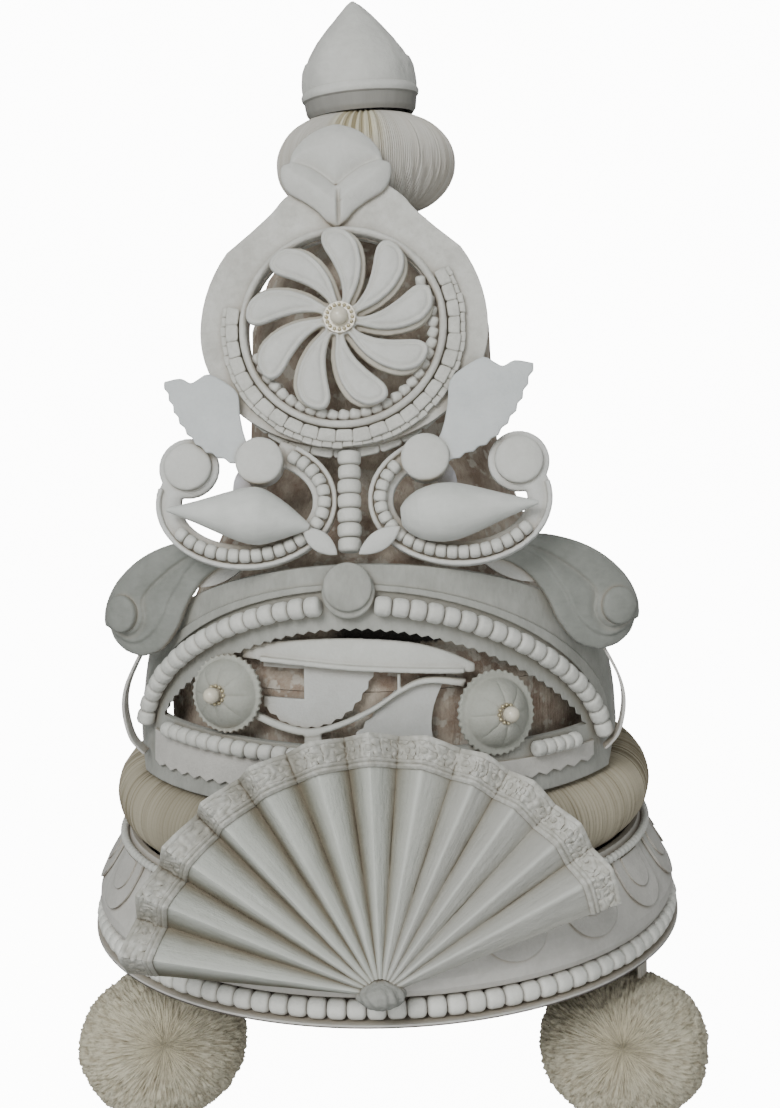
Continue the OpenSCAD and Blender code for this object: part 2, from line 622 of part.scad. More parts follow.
// Middle line and half width of a petal: radius, swing in degrees, half width
petal_rows = [[3, -12, 1.6], [9, -11, 2], [16, -6, 3.8], [23, 0.5, 5.8], [29, 6, 7],
    [33, 9, 6.8], [36.5, 11, 4.8], [38, 12, 1.6]];
module petal(grow = 0) {
    side = [for (s = [1, -1]) spline([for (q = petal_rows) let (a = q[1], c = q[0] * [cos(a), sin(a)],
        v = [-sin(a), cos(a)]) c + s * (q[2] + grow) * v], 3)];
    polygon(concat(side[1], reversed(side[0])));
}
flower_lift = plate_t + 2 * gap + 4;
petal_t = 2;
petal_turn = 2.3;
module flower_layer(grow, shift) linear_extrude(height = petal_t) {
    circle(r = 7, $fn = 48);
    for (i = [0 : petals_n - 1])
        rotate([0, 0, petal_turn + 360 * i / petals_n]) translate([0, shift]) petal(grow);
}
module flower_under() color(pith_shade) at_flower(flower_lift) flower_layer(0.5, -1.4);
module flower_petals() color(pith) at_flower(flower_lift + petal_t + gap) flower_layer(0, 0);
post_r = 4.5;
post_back = 7;
module flower_post() color(pith_shade) at_flower(0)
    translate([0, 0, -post_back]) cylinder(r = post_r, h = post_back + flower_lift - gap, $fn = 32);
module flower_pearl() color(pearl) at_flower(flower_lift + 2 * petal_t + 2 * gap) {
    cylinder(r = 6.4, h = 1.6, $fn = 48);
    translate([0, 0, 3.4]) sphere(r = 3.6, $fn = 32);
}
trefoil_at = [-6, 140];
// Right half of the two front lobes, and the top of the petal behind them
lobe_rows = [[0.2, -0.6], [4, 2], [7.6, 6.4], [13, 10.6], [19.4, 14.6], [22.4, 20], [22.4, 26],
    [17, 27.4], [10, 25], [4, 20.6], [0.2, 17]];
peak_rows = [[14, 18], [19, 26], [17.6, 33], [12, 39.4], [5.4, 43], [0, 44.4]];
module trefoil() color(pith) at_panel() translate([trefoil_at[0], trefoil_at[1], plate_t + gap]) {
    lobe = spline(lobe_rows, 3);
    peak = spline(peak_rows, 3);
    linear_extrude(height = 2.4) {
        polygon(concat(lobe, reversed([for (q = lobe) [-q[0], q[1]]])));
    }
    linear_extrude(height = 1.2)
        polygon(concat(peak, reversed([for (q = peak) [-q[0], q[1]]])));
}

// BALL, CAP AND POMPOMS
ball_z = 333.2;
ball_half_h = 22.8;
ball_pleats = 44;
ball_steps = 8;
// Closed pleated body: heights come from the polar angle, radii from the pleats
module pleated_body(r, h, pleats, steps, valley) {
    cols = 2 * pleats;
    pts = concat([[0, 0, -h]], [for (j = [1 : steps - 1]) for (i = [0 : cols - 1])
        let (a = -90 + 180 * j / steps, b = 360 * i / cols, k = pleat(i, valley))
        [r * k * pow(cos(a), 0.7) * cos(b), r * k * pow(cos(a), 0.7) * sin(b), h * sin(a)]], [[0, 0, h]]);
    top = len(pts) - 1;
    polyhedron(points = pts, faces = concat(
        [for (i = [0 : cols - 1]) [0, 1 + i, 1 + (i + 1) % cols]],
        [for (j = [0 : steps - 3]) for (i = [0 : cols - 1])
            let (a = 1 + j * cols + i, b = 1 + j * cols + (i + 1) % cols)
            for (f = [[a, a + cols, b + cols], [a, b + cols, b]]) f],
        [for (i = [0 : cols - 1]) let (row = 1 + (steps - 2) * cols) [top, row + (i + 1) % cols, row + i]]));
}
module paper_ball() color(cream)
    translate([0, 0, ball_z]) pleated_body(ball_r, ball_half_h, ball_pleats, ball_steps, 0.96);

cap_z = 355.2;
cap_x = -1.2;
cap_lean = 3;
// Outside of the cap: radius, height above its lip
cap_rows = [[cap_r, 0], [cap_r - 0.4, 9], [cap_r - 1.6, 17], [cap_r - 5, 23.6],
    [14.4, 31], [7.6, 39], [0, 46.4]];
cap_inside = [[0, 40], [5.4, 34], [12, 27], [17, 21],
    [cap_r - 3.4, 15], [cap_r - 2.2, 9], [cap_r - 2.2, 0]];
module cap() color(pith)
    translate([cap_x, 0, cap_z]) rotate([0, -cap_lean, 0]) {
        rotate_extrude($fn = 64) polygon(concat(cap_rows, cap_inside));
        difference() {
            cylinder(r = cap_r + 1, h = 7, $fn = 64);
            translate([0, 0, -1]) cylinder(r = cap_r - 1.4, h = 9, $fn = 64);
        }
    }

// Middle of each pompom
pompom_left_at = [-97, -59, -51];
pompom_right_at = [105, -59, -51.8];
pompom_tip = 14;
pompom_steps = 18;
pompom_cols = 36;
// Ball of paper strips: every second strip stands out
function strip(i, j) = j < 3 ? 0.94 : [1, 0.9, 0.96, 0.88][(i + 2 * j) % 4];
module pompom() {
    pts = concat([[0, 0, pompom_r * 0.94]],
        [for (j = [1 : pompom_steps - 1]) for (i = [0 : pompom_cols - 1])
        let (a = 180 * j / pompom_steps, b = 360 * i / pompom_cols, r = pompom_r * strip(i, j))
        [r * sin(a) * cos(b), r * sin(a) * sin(b), r * cos(a)]], [[0, 0, -pompom_r * 0.94]]);
    low = len(pts) - 1;
    c = pompom_cols;
    polyhedron(points = pts, faces = concat(
        [for (i = [0 : c - 1]) [0, 1 + (i + 1) % c, 1 + i]],
        [for (j = [0 : pompom_steps - 3]) for (i = [0 : c - 1])
            let (a = 1 + j * c + i, b = 1 + j * c + (i + 1) % c)
            for (f = [[a, b, b + c], [a, b + c, a + c]]) f],
        [for (i = [0 : c - 1]) let (row = 1 + (pompom_steps - 2) * c) [low, row + i, row + (i + 1) % c]]));
}
module pompom_right() color(cream) translate(pompom_right_at) rotate([0, pompom_tip, 0]) pompom();
module pompom_left() color(cream) translate(pompom_left_at) rotate([0, -pompom_tip, 0]) pompom();
strap_w = 8;
strap_t = 1.2;
strap_top = -rim_drop + floor_z - gap;
module strap(at, side) {
    top_x = at[0] + side * pompom_r * 0.94 * sin(pompom_tip);
    low_z = at[2] + pompom_r * 0.94 * cos(pompom_tip) + gap;
    translate([top_x, at[1], 0]) rotate([0, 0, atan2(top_x, -at[1])])
        translate([-strap_w / 2, -strap_t / 2, low_z]) cube([strap_w, strap_t, strap_top - low_z]);
}
module straps() color(pith_shade) {
    strap(pompom_left_at, -1);
    strap(pompom_right_at, 1);
}

head_drum();
core();
base_band();
rim_beads();
band_cord();
band_scallops();
pleated_ring();
fan();
fan_lace();
fan_knot();
arch_panel();
arch_beads();
sill_beads();
sill_flange();
arch_rosette();
crossbar();
vine();
vine_leaf_left();
vine_leaf_right();
boss_left();
boss_right();
boss_pearl_left();
boss_pearl_right();
side_stays();
wing_left();
wing_right();
wing_disc_left();
wing_disc_right();
wing_leaf_left();
wing_leaf_right();
bird_loop_left();
bird_loop_right();
bird_beads_left();
bird_beads_right();
inner_disc_left();
inner_disc_right();
outer_disc_left();
outer_disc_right();
spindle_left();
spindle_right();
crest_leaves();
base_leaves();
bead_column();
tail_leaf_left();
tail_leaf_right();
medallion_plate();
medallion_ring();
medallion_beads();
dentils();
dentil_fringe();
flower_post();
flower_under();
flower_petals();
flower_pearl();
trefoil();
paper_ball();
cap();
pompom_left();
pompom_right();
straps();
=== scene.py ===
import math
import random

import bmesh
import bpy
from mathutils import Matrix, Vector, noise
from mathutils.kdtree import KDTree


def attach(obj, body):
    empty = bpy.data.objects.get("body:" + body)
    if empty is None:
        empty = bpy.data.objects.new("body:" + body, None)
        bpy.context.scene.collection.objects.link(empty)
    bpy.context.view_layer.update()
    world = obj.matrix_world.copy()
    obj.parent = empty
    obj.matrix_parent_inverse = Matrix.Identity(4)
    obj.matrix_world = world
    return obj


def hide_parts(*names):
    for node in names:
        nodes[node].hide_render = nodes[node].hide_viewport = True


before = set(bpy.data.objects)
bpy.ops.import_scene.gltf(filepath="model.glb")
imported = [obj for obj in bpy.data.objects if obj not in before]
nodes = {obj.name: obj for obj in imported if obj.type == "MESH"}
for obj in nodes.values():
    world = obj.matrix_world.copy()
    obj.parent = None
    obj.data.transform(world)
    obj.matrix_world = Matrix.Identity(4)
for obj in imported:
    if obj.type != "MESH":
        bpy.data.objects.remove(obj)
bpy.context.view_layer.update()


# STUDIO
# A pale floor that turns up all round into one seamless wall, three soft boxes and a sky light.
# The crown hangs over the floor as if a head held it, and the camera looks at it from the front.
def nothing_selected():
    if bpy.context.object and bpy.context.object.mode != "OBJECT":
        bpy.ops.object.mode_set(mode="OBJECT")
    bpy.ops.object.select_all(action="DESELECT")


def take(piece):
    """Selects one piece alone and makes it the active one."""
    nothing_selected()
    piece.select_set(True)
    bpy.context.view_layer.objects.active = piece


class Val:
    """A number or colour on a socket, so that shading reads as plain sums."""

    def __init__(self, paint, socket):
        self.paint, self.socket = paint, socket

    def __add__(self, other):
        return self.paint.math("ADD", self, other)

    __radd__ = __add__

    def __sub__(self, other):
        return self.paint.math("SUBTRACT", self, other)

    def __rsub__(self, other):
        return self.paint.math("SUBTRACT", other, self)

    def __mul__(self, other):
        return self.paint.math("MULTIPLY", self, other)

    __rmul__ = __mul__

    def __truediv__(self, other):
        return self.paint.math("DIVIDE", self, other)

    def __pow__(self, other):
        return self.paint.math("POWER", self, other)


class Paint:
    """One finish: a material with its shader, and short names for the nodes that feed it."""

    def __init__(self, name, **fixed):
        self.material = bpy.data.materials.new(name)
        self.material.use_nodes = True
        self.tree = self.material.node_tree
        self.shader = self.tree.nodes["Principled BSDF"]
        for socket, value in fixed.items():
            self.shader.inputs[socket.replace("_", " ")].default_value = value

    def node(self, kind, settings, values, out=0):
        made = self.tree.nodes.new("ShaderNode" + kind)
        for key, value in settings.items():
            setattr(made, key, value)
        for key, value in values.items():
            if isinstance(value, Val):
                self.tree.links.new(value.socket, made.inputs[key])
            else:
                made.inputs[key].default_value = value
        return Val(self, made.outputs[out])

    def feed(self, **links):
        for socket, value in links.items():
            self.tree.links.new(value.socket, self.shader.inputs[socket.replace("_", " ")])

    def place(self, **mapping):
        spot = self.node("TexCoord", {}, {}, "Object")
        return self.node("Mapping", {}, {"Vector": spot, **mapping}) if mapping else spot

    def split(self, at):
        first = self.node("SeparateXYZ", {}, {"Vector": at})
        return [Val(self, socket) for socket in first.socket.node.outputs]

    def spread(self):
        """The flat sheet's own two directions, each from 0 to 1."""
        return self.split(self.node("TexCoord", {}, {}, "UV"))[:2]

    def joint(self, x, y, z=0):
        return self.node("CombineXYZ", {}, {0: x, 1: y, 2: z})

    def math(self, operation, *values):
        return self.node("Math", {"operation": operation}, dict(enumerate(values)))

    def noise(self, at, scale, detail=4, rough=0.55):
        return self.node("TexNoise", {}, {"Vector": at, "Scale": scale, "Detail": detail, "Roughness": rough})

    def own(self, number):
        """One chance value for each whole number."""
        return self.node("TexWhiteNoise", {"noise_dimensions": "1D"}, {"W": number})

    def ramp(self, value, low, high, to=(0, 1), kind="LINEAR"):
        """0 to 1, or one end to the other, while a value goes from low to high."""
        return self.node("MapRange", {"interpolation_type": kind}, {
            "Value": value, "From Min": low, "From Max": high, "To Min": to[0], "To Max": to[1]})

    def open_air(self, reach, low, high, samples, to=(0, 1)):
        """Low in corners and gaps, and high where nothing else is near."""
        free = self.node("AmbientOcclusion", {"samples": samples}, {"Distance": reach}, 1)
        return self.ramp(free, low, high, to)

    def mix(self, share, a, b):
        a, b = (colour if isinstance(colour, Val) else (*colour, 1) for colour in (a, b))
        return self.node("Mix", {"data_type": "RGBA"}, {0: share, 6: a, 7: b}, 2)

    def bump(self, height, depth, normal=None):
        values = {"Height": height, "Distance": depth, "Strength": 1.0}
        if normal:
            values["Normal"] = normal
        return self.node("Bump", {}, values)


FLOOR_Z, FLOOR_R, WALL_H, CURVE_STEPS = -0.0925, 2.2, 1.6, 8
nothing_selected()
bpy.ops.mesh.primitive_circle_add(vertices=96, radius=FLOOR_R, fill_type="NGON", location=(0, 0, FLOOR_Z))
studio_floor = bpy.context.object
studio_floor.name = "studio_floor"
bpy.ops.object.transform_apply()
bpy.ops.object.mode_set(mode="EDIT")
bpy.ops.mesh.select_all(action="SELECT")
bpy.ops.mesh.select_mode(type="EDGE")
bpy.ops.mesh.region_to_loop()
for step in range(CURVE_STEPS):
    before, after = (math.radians(90 * k / CURVE_STEPS) for k in (step, step + 1))
    rise = math.cos(before) - math.cos(after)
    bpy.ops.mesh.extrude_edges_move(TRANSFORM_OT_translate={"value": (0, 0, rise)})
    grow = (FLOOR_R + math.sin(after)) / (FLOOR_R + math.sin(before))
    bpy.ops.transform.resize(value=(grow, grow, 1), center_override=(0, 0, 0))
bpy.ops.mesh.extrude_edges_move(TRANSFORM_OT_translate={"value": (0, 0, WALL_H)})
bpy.ops.mesh.select_all(action="SELECT")
bpy.ops.mesh.normals_make_consistent(inside=True)
bpy.ops.object.mode_set(mode="OBJECT")
bpy.ops.object.shade_smooth()
floor_paint = Paint("pale_floor", Roughness=0.9, Emission_Strength=14.0)
floor_spot = floor_paint.noise(floor_paint.place(), 3.0)
floor_tone = floor_paint.mix(floor_spot, (0.86, 0.86, 0.85), (0.90, 0.90, 0.89))
floor_paint.feed(Base_Color=floor_tone, Emission_Color=floor_tone)
studio_floor.data.materials.append(floor_paint.material)
studio_floor.visible_diffuse = studio_floor.visible_glossy = False

LAMP_COLOUR, LAMPS_AIM = (1.0, 1.0, 0.965), Vector((0, 0, 0.12))
for name, spot, size, power in (
    ("soft_box_key", (-0.45, -1.35, 1.05), 0.7, 19.0),
    ("soft_box_fill", (0.25, -1.5, -0.05), 1.0, 9.0),
    ("soft_box_back", (0.3, 1.3, 1.3), 1.2, 5.0),
):
    lamp = bpy.data.objects.new(name, bpy.data.lights.new(name, "AREA"))
    lamp.data.size, lamp.data.energy, lamp.data.color = size, power, LAMP_COLOUR
    lamp.location = spot
    lamp.rotation_euler = (LAMPS_AIM - Vector(spot)).to_track_quat("-Z", "Y").to_euler()
    bpy.context.scene.collection.objects.link(lamp)
sky = bpy.data.worlds.new("studio_sky")
sky.use_nodes = True
sky.node_tree.nodes["Background"].inputs["Color"].default_value = (0.96, 0.98, 0.94, 1)
sky.node_tree.nodes["Background"].inputs["Strength"].default_value = 0.34
bpy.context.scene.world = sky

# The camera: focal length in pixels of a picture 1108 high, and distance and height in metres
FOCAL, PICTURE_H, SENSOR, DISTANCE, HEIGHT = 1464, 1108, 36, 0.665, 0.256
TILT, ROLL, TURN, PAN = (math.radians(a) for a in (8.25, 1.62, 4.0, 0.5))


def swung(first, second, angle):
    """Two directions at right angles, both turned in their own plane."""
    return (first * math.cos(angle) + second * math.sin(angle),
            second * math.cos(angle) - first * math.sin(angle))


camera = bpy.data.objects.new("camera", bpy.data.cameras.new("camera"))
ahead = Vector((-math.sin(TURN), math.cos(TURN), 0))
right = Vector((math.cos(TURN), math.sin(TURN), 0))
ahead, right = swung(ahead, right, PAN)
up, ahead = swung(Vector((0, 0, 1)), ahead, TILT)
up, right = swung(up, right, ROLL)
eye = Vector((DISTANCE * math.sin(TURN), -DISTANCE * math.cos(TURN), HEIGHT))
camera.matrix_world = Matrix.Translation(eye) @ Matrix((right, up, -ahead)).transposed().to_4x4()
camera.data.sensor_fit = "AUTO"
camera.data.sensor_width = SENSOR
camera.data.lens = FOCAL / PICTURE_H * SENSOR
camera.data.clip_start = 0.01
bpy.context.scene.collection.objects.link(camera)
bpy.context.scene.camera = camera


# CARD RING AND CORE
# The head ring and the hollow cone above it are rolled from brown card about 3 mm thick.
# White scraps are pasted on the front and thin white paper on the rest, and one narrow strip of painted
# shadow darkens the core where it shows above the crossbar.
SHADOW_STRIP_X, SHADOW_STRIP_Z = (0.017, 0.034), (0.1402, 0.0040)


def card_paint():
    """Brown card, papered white behind. A strip of painted shadow, near black, is given by its middle and
    half size.
    """
    paint = Paint("pasted_card", Roughness=0.9)
    at = paint.place()
    x, y, z = paint.split(at)
    blotch = paint.noise(at, 70, 6, 0.7)
    fibre = paint.noise(paint.place(Scale=(1, 1, 0.12)), 700, 3)
    scrap = paint.ramp(paint.noise(at, 130, 3), 0.55, 0.60)
    card = paint.mix(paint.ramp(blotch, 0.36, 0.64), (0.24, 0.175, 0.135), (0.46, 0.40, 0.335))
    card = paint.mix(scrap * 0.7, card, (0.52, 0.49, 0.44))
    wide, high = (paint.ramp(paint.math("ABSOLUTE", spot - middle), half, half * 0.75)
                  for spot, (middle, half) in ((x, SHADOW_STRIP_X), (z + fibre * 0.002, SHADOW_STRIP_Z)))
    # Painted shadow: the strip where the core shows dark through the slot above the crossbar.
    card = paint.mix(wide * high, card, (0.03, 0.027, 0.024))
    paper = paint.mix(fibre * 0.5 + blotch * 0.5, (0.50, 0.49, 0.455), (0.59, 0.58, 0.55))
    back = paint.ramp(y + blotch * 0.012, 0.000, 0.003)
    paint.feed(Base_Color=paint.mix(back, card, paper), Normal=paint.bump(fibre + blotch * 2, 0.0006))
    return paint.material


def finish_nodes(material, *names):
    """Gives their finish to CAD nodes that stay."""
    for name in names:
        nodes[name].data.materials.clear()
        nodes[name].data.materials.append(material)


finish_nodes(card_paint(), "head_drum", "core")


# BASE BAND
# The flared band is white paper over card, drawn in towards the top, on a thin card floor.
# Its lower edge, under the beads, is painted dark as the shadow under the card floor, a fine dark line.
def pith_paint(name, dark, light, round_edge=0.0005, grain=900, rough=0.72, crevice_shade=(0.36, 0.32, 0.265),
               streak=(1, 1, 1), relief=0.00025, reach=0.009, waves=0.0007, below=None):
    """Cut pith or pasted paper: softly blotched, faintly streaked, with painted shade, darker and warmer, in
    the corners.
    """
    paint = Paint(name)
    blotch = paint.noise(paint.place(), 75, 5, 0.62)
    fine = paint.noise(paint.place(Scale=streak), grain, 5, 0.6)
    tone = paint.mix(paint.ramp(blotch * 0.65 + fine * 0.35, 0.36, 0.64), dark, light)
    # Painted shade: corners and gaps take the darker, warmer crevice colour.
    colour = paint.mix(paint.open_air(reach, 0.28, 0.85, 8), crevice_shade, tone)
    # Painted shadow: below the given height the colour turns nearly black.
    if below is not None:
        under = paint.ramp(paint.split(paint.place())[2], below, below + 0.0004)
        colour = paint.mix(under, (0.10, 0.09, 0.085), colour)
    soft = paint.node("Bevel", {"samples": 4}, {"Radius": round_edge})
    hand = paint.bump(paint.noise(paint.place(), 60, 2), waves, soft)
    paint.feed(Base_Color=colour, Roughness=fine * 0.18 + (rough - 0.09),
               Normal=paint.bump(fine + blotch * 0.8, relief, hand))
    return paint.material


band_paper = pith_paint("band_paper", (0.55, 0.54, 0.52), (0.65, 0.64, 0.62), 0.0006, 500, 0.8, below=-0.0043)
finish_nodes(band_paper, "base_band")


# RIM BEADS
# One cord of pith is rolled and cut into short barrels, which are glued side by side round the rim.
# Each barrel is a little squarish, with its cut ends rounded off.
def stations(path, pitch):
    """Middles and directions of the beads on a path of points."""
    lengths = [0.0]
    for a, b in zip(path, path[1:]):
        lengths.append(lengths[-1] + (b - a).length)
    count = math.ceil(lengths[-1] / pitch)

    def at(d):
        k = max(i for i, s in enumerate(lengths[:-1]) if s <= max(d, 0) + 1e-12)
        share = (d - lengths[k]) / max(lengths[k + 1] - lengths[k], 1e-9)
        return path[k].lerp(path[k + 1], share)

    found = []
    for i in range(count + 1):
        d = lengths[-1] * i / count
        found.append((at(d), (at(min(d + pitch / 2, lengths[-1])) - at(max(d - pitch / 2, 0))).normalized()))
    return found, lengths[-1] / count


def rolled_bead(radius, length, sides=14):
    nothing_selected()
    bpy.ops.mesh.primitive_cylinder_add(vertices=sides, radius=radius, depth=length)
    bead = bpy.context.object
    bpy.ops.object.mode_set(mode="EDIT")
    mesh = bmesh.from_edit_mesh(bead.data)
    for edge in mesh.edges:
        edge.select_set(abs(edge.verts[0].co.z - edge.verts[1].co.z) < 1e-6)
    bmesh.update_edit_mesh(bead.data)
    bpy.ops.mesh.bevel(offset=min(radius * 0.6, length * 0.3), segments=4, affect="EDGES")
    bpy.ops.object.mode_set(mode="OBJECT")
    bpy.ops.object.shade_smooth()
    return bead


def copied(first, matrix):
    """A copy with its own mesh, put in place by a matrix."""
    copy = first.copy()
    copy.data = first.data.copy()
    copy.data.transform(matrix)
    bpy.context.scene.collection.objects.link(copy)
    return copy


def joined(pieces, name):
    nothing_selected()
    for piece in pieces:
        piece.select_set(True)
    bpy.context.view_layer.objects.active = pieces[0]
    if len(pieces) > 1:
        bpy.ops.object.join()
    whole = bpy.context.view_layer.objects.active
    whole.name = whole.data.name = name
    return whole


def mount_piece(piece, material, *stands_for, slot="pith"):
    """Finishes a new piece, fixes it to the crown and hides the CAD nodes it stands for."""
    piece.data.materials.clear()
    piece.data.materials.append(material)
    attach(piece, "root")
    if stands_for:
        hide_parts(*stands_for)


def bead_string(name, rows, radius, pitch, seed, slant=0):
    """Barrels along one or more rows of points, each a touch different."""
    luck = random.Random(seed)
    strung = []
    for row in rows:
        spots, step = stations(row, pitch)
        first = rolled_bead(radius, step * 0.97)
        for spot, along in spots:
            side = along.orthogonal().normalized()
            up = along.cross(side)
            grow = 1 + luck.uniform(-0.04, 0.04)
            lie = Matrix.Translation(spot) @ Matrix((side, up, along)).transposed().to_4x4()
            tilt = Matrix.Rotation(slant + luck.uniform(-0.05, 0.05), 4, "X")
            roll = Matrix.Rotation(luck.uniform(0, 6.28), 4, "Z")
            strung.append(copied(first, lie @ tilt @ roll @ Matrix.Diagonal((grow, grow, 1, 1))))
        bpy.data.objects.remove(first)
    return joined(strung, name)


def on_ring(angle, radius, height):
    return Vector((radius * math.cos(angle), radius * math.sin(angle), height))


RIM_R, RIM_Z, RIM_POINTS = 0.1308, 0.0012, 208
rim_path = [on_ring(2 * math.pi * i / RIM_POINTS, RIM_R, RIM_Z) for i in range(RIM_POINTS - 1)]
bead_pith = pith_paint("bead_pith", (0.58, 0.585, 0.56), (0.70, 0.705, 0.68), 0.0004, 1100, 0.6,
                       crevice_shade=(0.48, 0.465, 0.43), reach=0.0035)
rim_string = bead_string("rim_string", [rim_path], radius=0.0042, pitch=0.0078, seed=3)
# The rim's beads take a lighter copy of the bead pith, painted light for the low rim, with a lighter painted
# shade between them.
rim_pith_lit = pith_paint("rim_pith_lit", (0.70, 0.705, 0.675), (0.84, 0.845, 0.815), 0.0004, 1100, 0.6,
                      crevice_shade=(0.58, 0.565, 0.53), reach=0.003)
mount_piece(rim_string, rim_pith_lit, "rim_beads")


# BAND TRIM
# A fine cord of tiny ribs lies where the band meets the paper ring.
# Under it hang curved tongues of pith in two steps, side by side round the band.
def round_profile(radius, middle, height, sides):
    """A ring of points standing upright on the +X side, ready to be spun round the crown."""
    nothing_selected()
    bpy.ops.mesh.primitive_circle_add(vertices=sides, radius=radius, location=(middle, 0, height),
                                      rotation=(math.pi / 2, 0, 0))
    bpy.ops.object.transform_apply()
    return bpy.context.object


def closed():
    """Ends edit mode with the seams merged and all faces turned outwards."""
    bpy.ops.mesh.select_all(action="SELECT")
    bpy.ops.mesh.remove_doubles(threshold=0.000005)
    bpy.ops.mesh.normals_make_consistent(inside=False)
    bpy.ops.object.mode_set(mode="OBJECT")


def spun(profile, steps):
    bpy.ops.object.mode_set(mode="EDIT")
    bpy.ops.mesh.select_all(action="SELECT")
    bpy.ops.mesh.spin(steps=steps, angle=2 * math.pi, center=(0, 0, 0), axis=(0, 0, 1))
    closed()
    return profile


def pressed(piece, rule):
    """Moves every point of a piece by a rule, as fingers press a sheet."""
    for point in piece.data.vertices:
        point.co = rule(point.co.copy())
    piece.data.update()
    return piece


def smoothed(piece, name):
    """Names a round piece and shades it smooth."""
    take(piece)
    bpy.ops.object.shade_smooth()
    piece.name = piece.data.name = name
    return piece


CORD_R, CORD_Z, CORD_THICK, CORD_RIBS = 0.120675, 0.0384, 0.0019, 210


def ribs(p):
    angle = math.atan2(p.y, p.x)
    bulge = 0.62 + 0.38 * abs(math.sin(angle * CORD_RIBS / 2))
    middle = on_ring(angle, CORD_R, CORD_Z)
    return middle + (p - middle) * bulge


band_string = pressed(spun(round_profile(CORD_THICK, CORD_R, CORD_Z, 10), CORD_RIBS * 6), ribs)
mount_piece(smoothed(band_string, "band_string"), bead_pith, "band_cord")
scallop_pith = pith_paint("scallop_pith", (0.50, 0.49, 0.47), (0.60, 0.59, 0.57), 0.0007, 700, 0.76)
finish_nodes(scallop_pith, "band_scallops")


# PLEATED PAPER RING
# Hundreds of thin leaves of ivory paper stand on edge and are glued into one plump ring.
# Their edges show as fine lines, with a warm shadow between them.
RING_R, RING_Z, RING_THICK, RING_BACK, LEAVES, LEAF_DEPTH = 0.105, 0.057, 0.0174, 0.0968, 360, 0.07


def paper_leaf_paint(name, dark, light, warm, leaves, contrast=1.0, front_folds=0):
    """Edges of thin leaves, each with its own tone; painted shade makes the gaps dark and warm, and the front
    folds are painted yellow with painted shade in their valleys.
    """
    paint = Paint(name, Roughness=0.85)
    at = paint.place()
    x, y, z = paint.split(at)
    angle = paint.math("ARCTAN2", y, x)
    counted = angle / (2 * math.pi / leaves)
    leaf = paint.math("FLOOR", counted)
    edge = paint.math("PINGPONG", counted, 0.5) * 2
    tone = paint.mix(paint.own(leaf) * 0.5 + paint.noise(at, 30, 4) * 0.5, dark, light)
    deep = paint.open_air(0.010, 0.1, 0.8, 6, to=(1 - 0.8 * contrast, 1))
    loose = paint.ramp(paint.noise(at, 16, 2), 0.42, 0.62, to=(-0.45, 0.25))
    gap = paint.ramp(edge + paint.own(leaf + 0.37) * 0.55 + loose, 0.0, 0.6, to=(1 - 0.9 * contrast, 1))
    # Painted shade in deep gaps and between the leaves.
    colour = paint.mix(deep * gap, warm, tone)
    if front_folds:
        facing = paint.ramp(paint.math("ABSOLUTE", angle + 1.62), 0.42, 0.22)
        high = paint.ramp(z, 0.330, 0.345)
        fold = paint.math("SINE", angle * front_folds) * 0.5 + 0.5
        # Painted shade at the front: each fold goes from a pale yellow crest to a dark yellow valley.
        front_fold_shade = paint.mix(fold, (0.42, 0.36, 0.22), (0.72, 0.69, 0.55))
        colour = paint.mix(facing * high * 0.85, colour, front_fold_shade)
    paint.feed(Base_Color=colour, Normal=paint.bump(paint.noise(at, 400, 3), 0.0001))
    return paint.material


leaf_luck = random.Random(11)
leaf_stand = [leaf_luck.uniform(-1, 1) for _ in range(LEAVES)]


def leaves_on_edge(p):
    """Every second line of points goes in, and each leaf stands out a little more or less than the next."""
    angle = math.atan2(p.y, p.x)
    if math.hypot(p.x, p.y) < RING_BACK + 0.0001:
        return p
    line = round((angle / (2 * math.pi)) % 1 * LEAVES * 2) % (2 * LEAVES)
    middle = on_ring(angle, RING_R, RING_Z)
    return middle + (p - middle) * (1 - (LEAF_DEPTH if line % 2 else 0) + 0.012 * leaf_stand[line // 2])


ring_profile = round_profile(RING_THICK, RING_R, RING_Z, 36)
bpy.ops.object.mode_set(mode="EDIT")
mesh = bmesh.from_edit_mesh(ring_profile.data)
for point in mesh.verts:
    point.select_set(point.co.x < RING_BACK)
mesh.select_flush(True)
bmesh.update_edit_mesh(ring_profile.data)
bpy.ops.transform.resize(value=(0, 1, 1), center_override=(RING_BACK, 0, RING_Z))
paper_ring = spun(ring_profile, LEAVES * 2)
pressed(paper_ring, leaves_on_edge)
paper_ring.name = paper_ring.data.name = "paper_ring"
ring_paper = paper_leaf_paint("ring_paper", (0.36, 0.325, 0.25), (0.44, 0.405, 0.32), (0.13, 0.108, 0.07),
                              LEAVES)
mount_piece(paper_ring, ring_paper, "pleated_ring", slot="pleated_paper")


# FAN
# A strip of crepe paper is folded in broad pleats, deep on the left and shallow on the right.
# It is pinched at the middle of the rim, where a gathered knot of the same paper holds it.
FAN_FOLDS, FAN_FROM, FAN_R, FAN_DEPTH, FAN_START, FAN_OPEN = 24, 0.0062, 0.098, 0.0052, 19.5, 155
fan_foot = Matrix.Rotation(math.radians(2.6), 4, "Z") @ Matrix.Translation((0, -0.1429, 0.013))
fan_place = fan_foot @ Matrix.Rotation(math.radians(80), 4, "X")
fold_luck = random.Random(17)
fold_wander = [fold_luck.uniform(-0.9, 0.9) for _ in range(FAN_FOLDS + 1)]
fold_depth = [fold_luck.uniform(0.8, 1.15) for _ in range(FAN_FOLDS + 1)]
fold_wander[0] = fold_wander[FAN_FOLDS] = 0


def fold_angle(i):
    """Two folds make a pleat, and the first of them takes 58% of its width."""
    return math.radians(FAN_START + FAN_OPEN * (i // 2 + (i % 2) * 0.58) / (FAN_FOLDS / 2) + fold_wander[i])


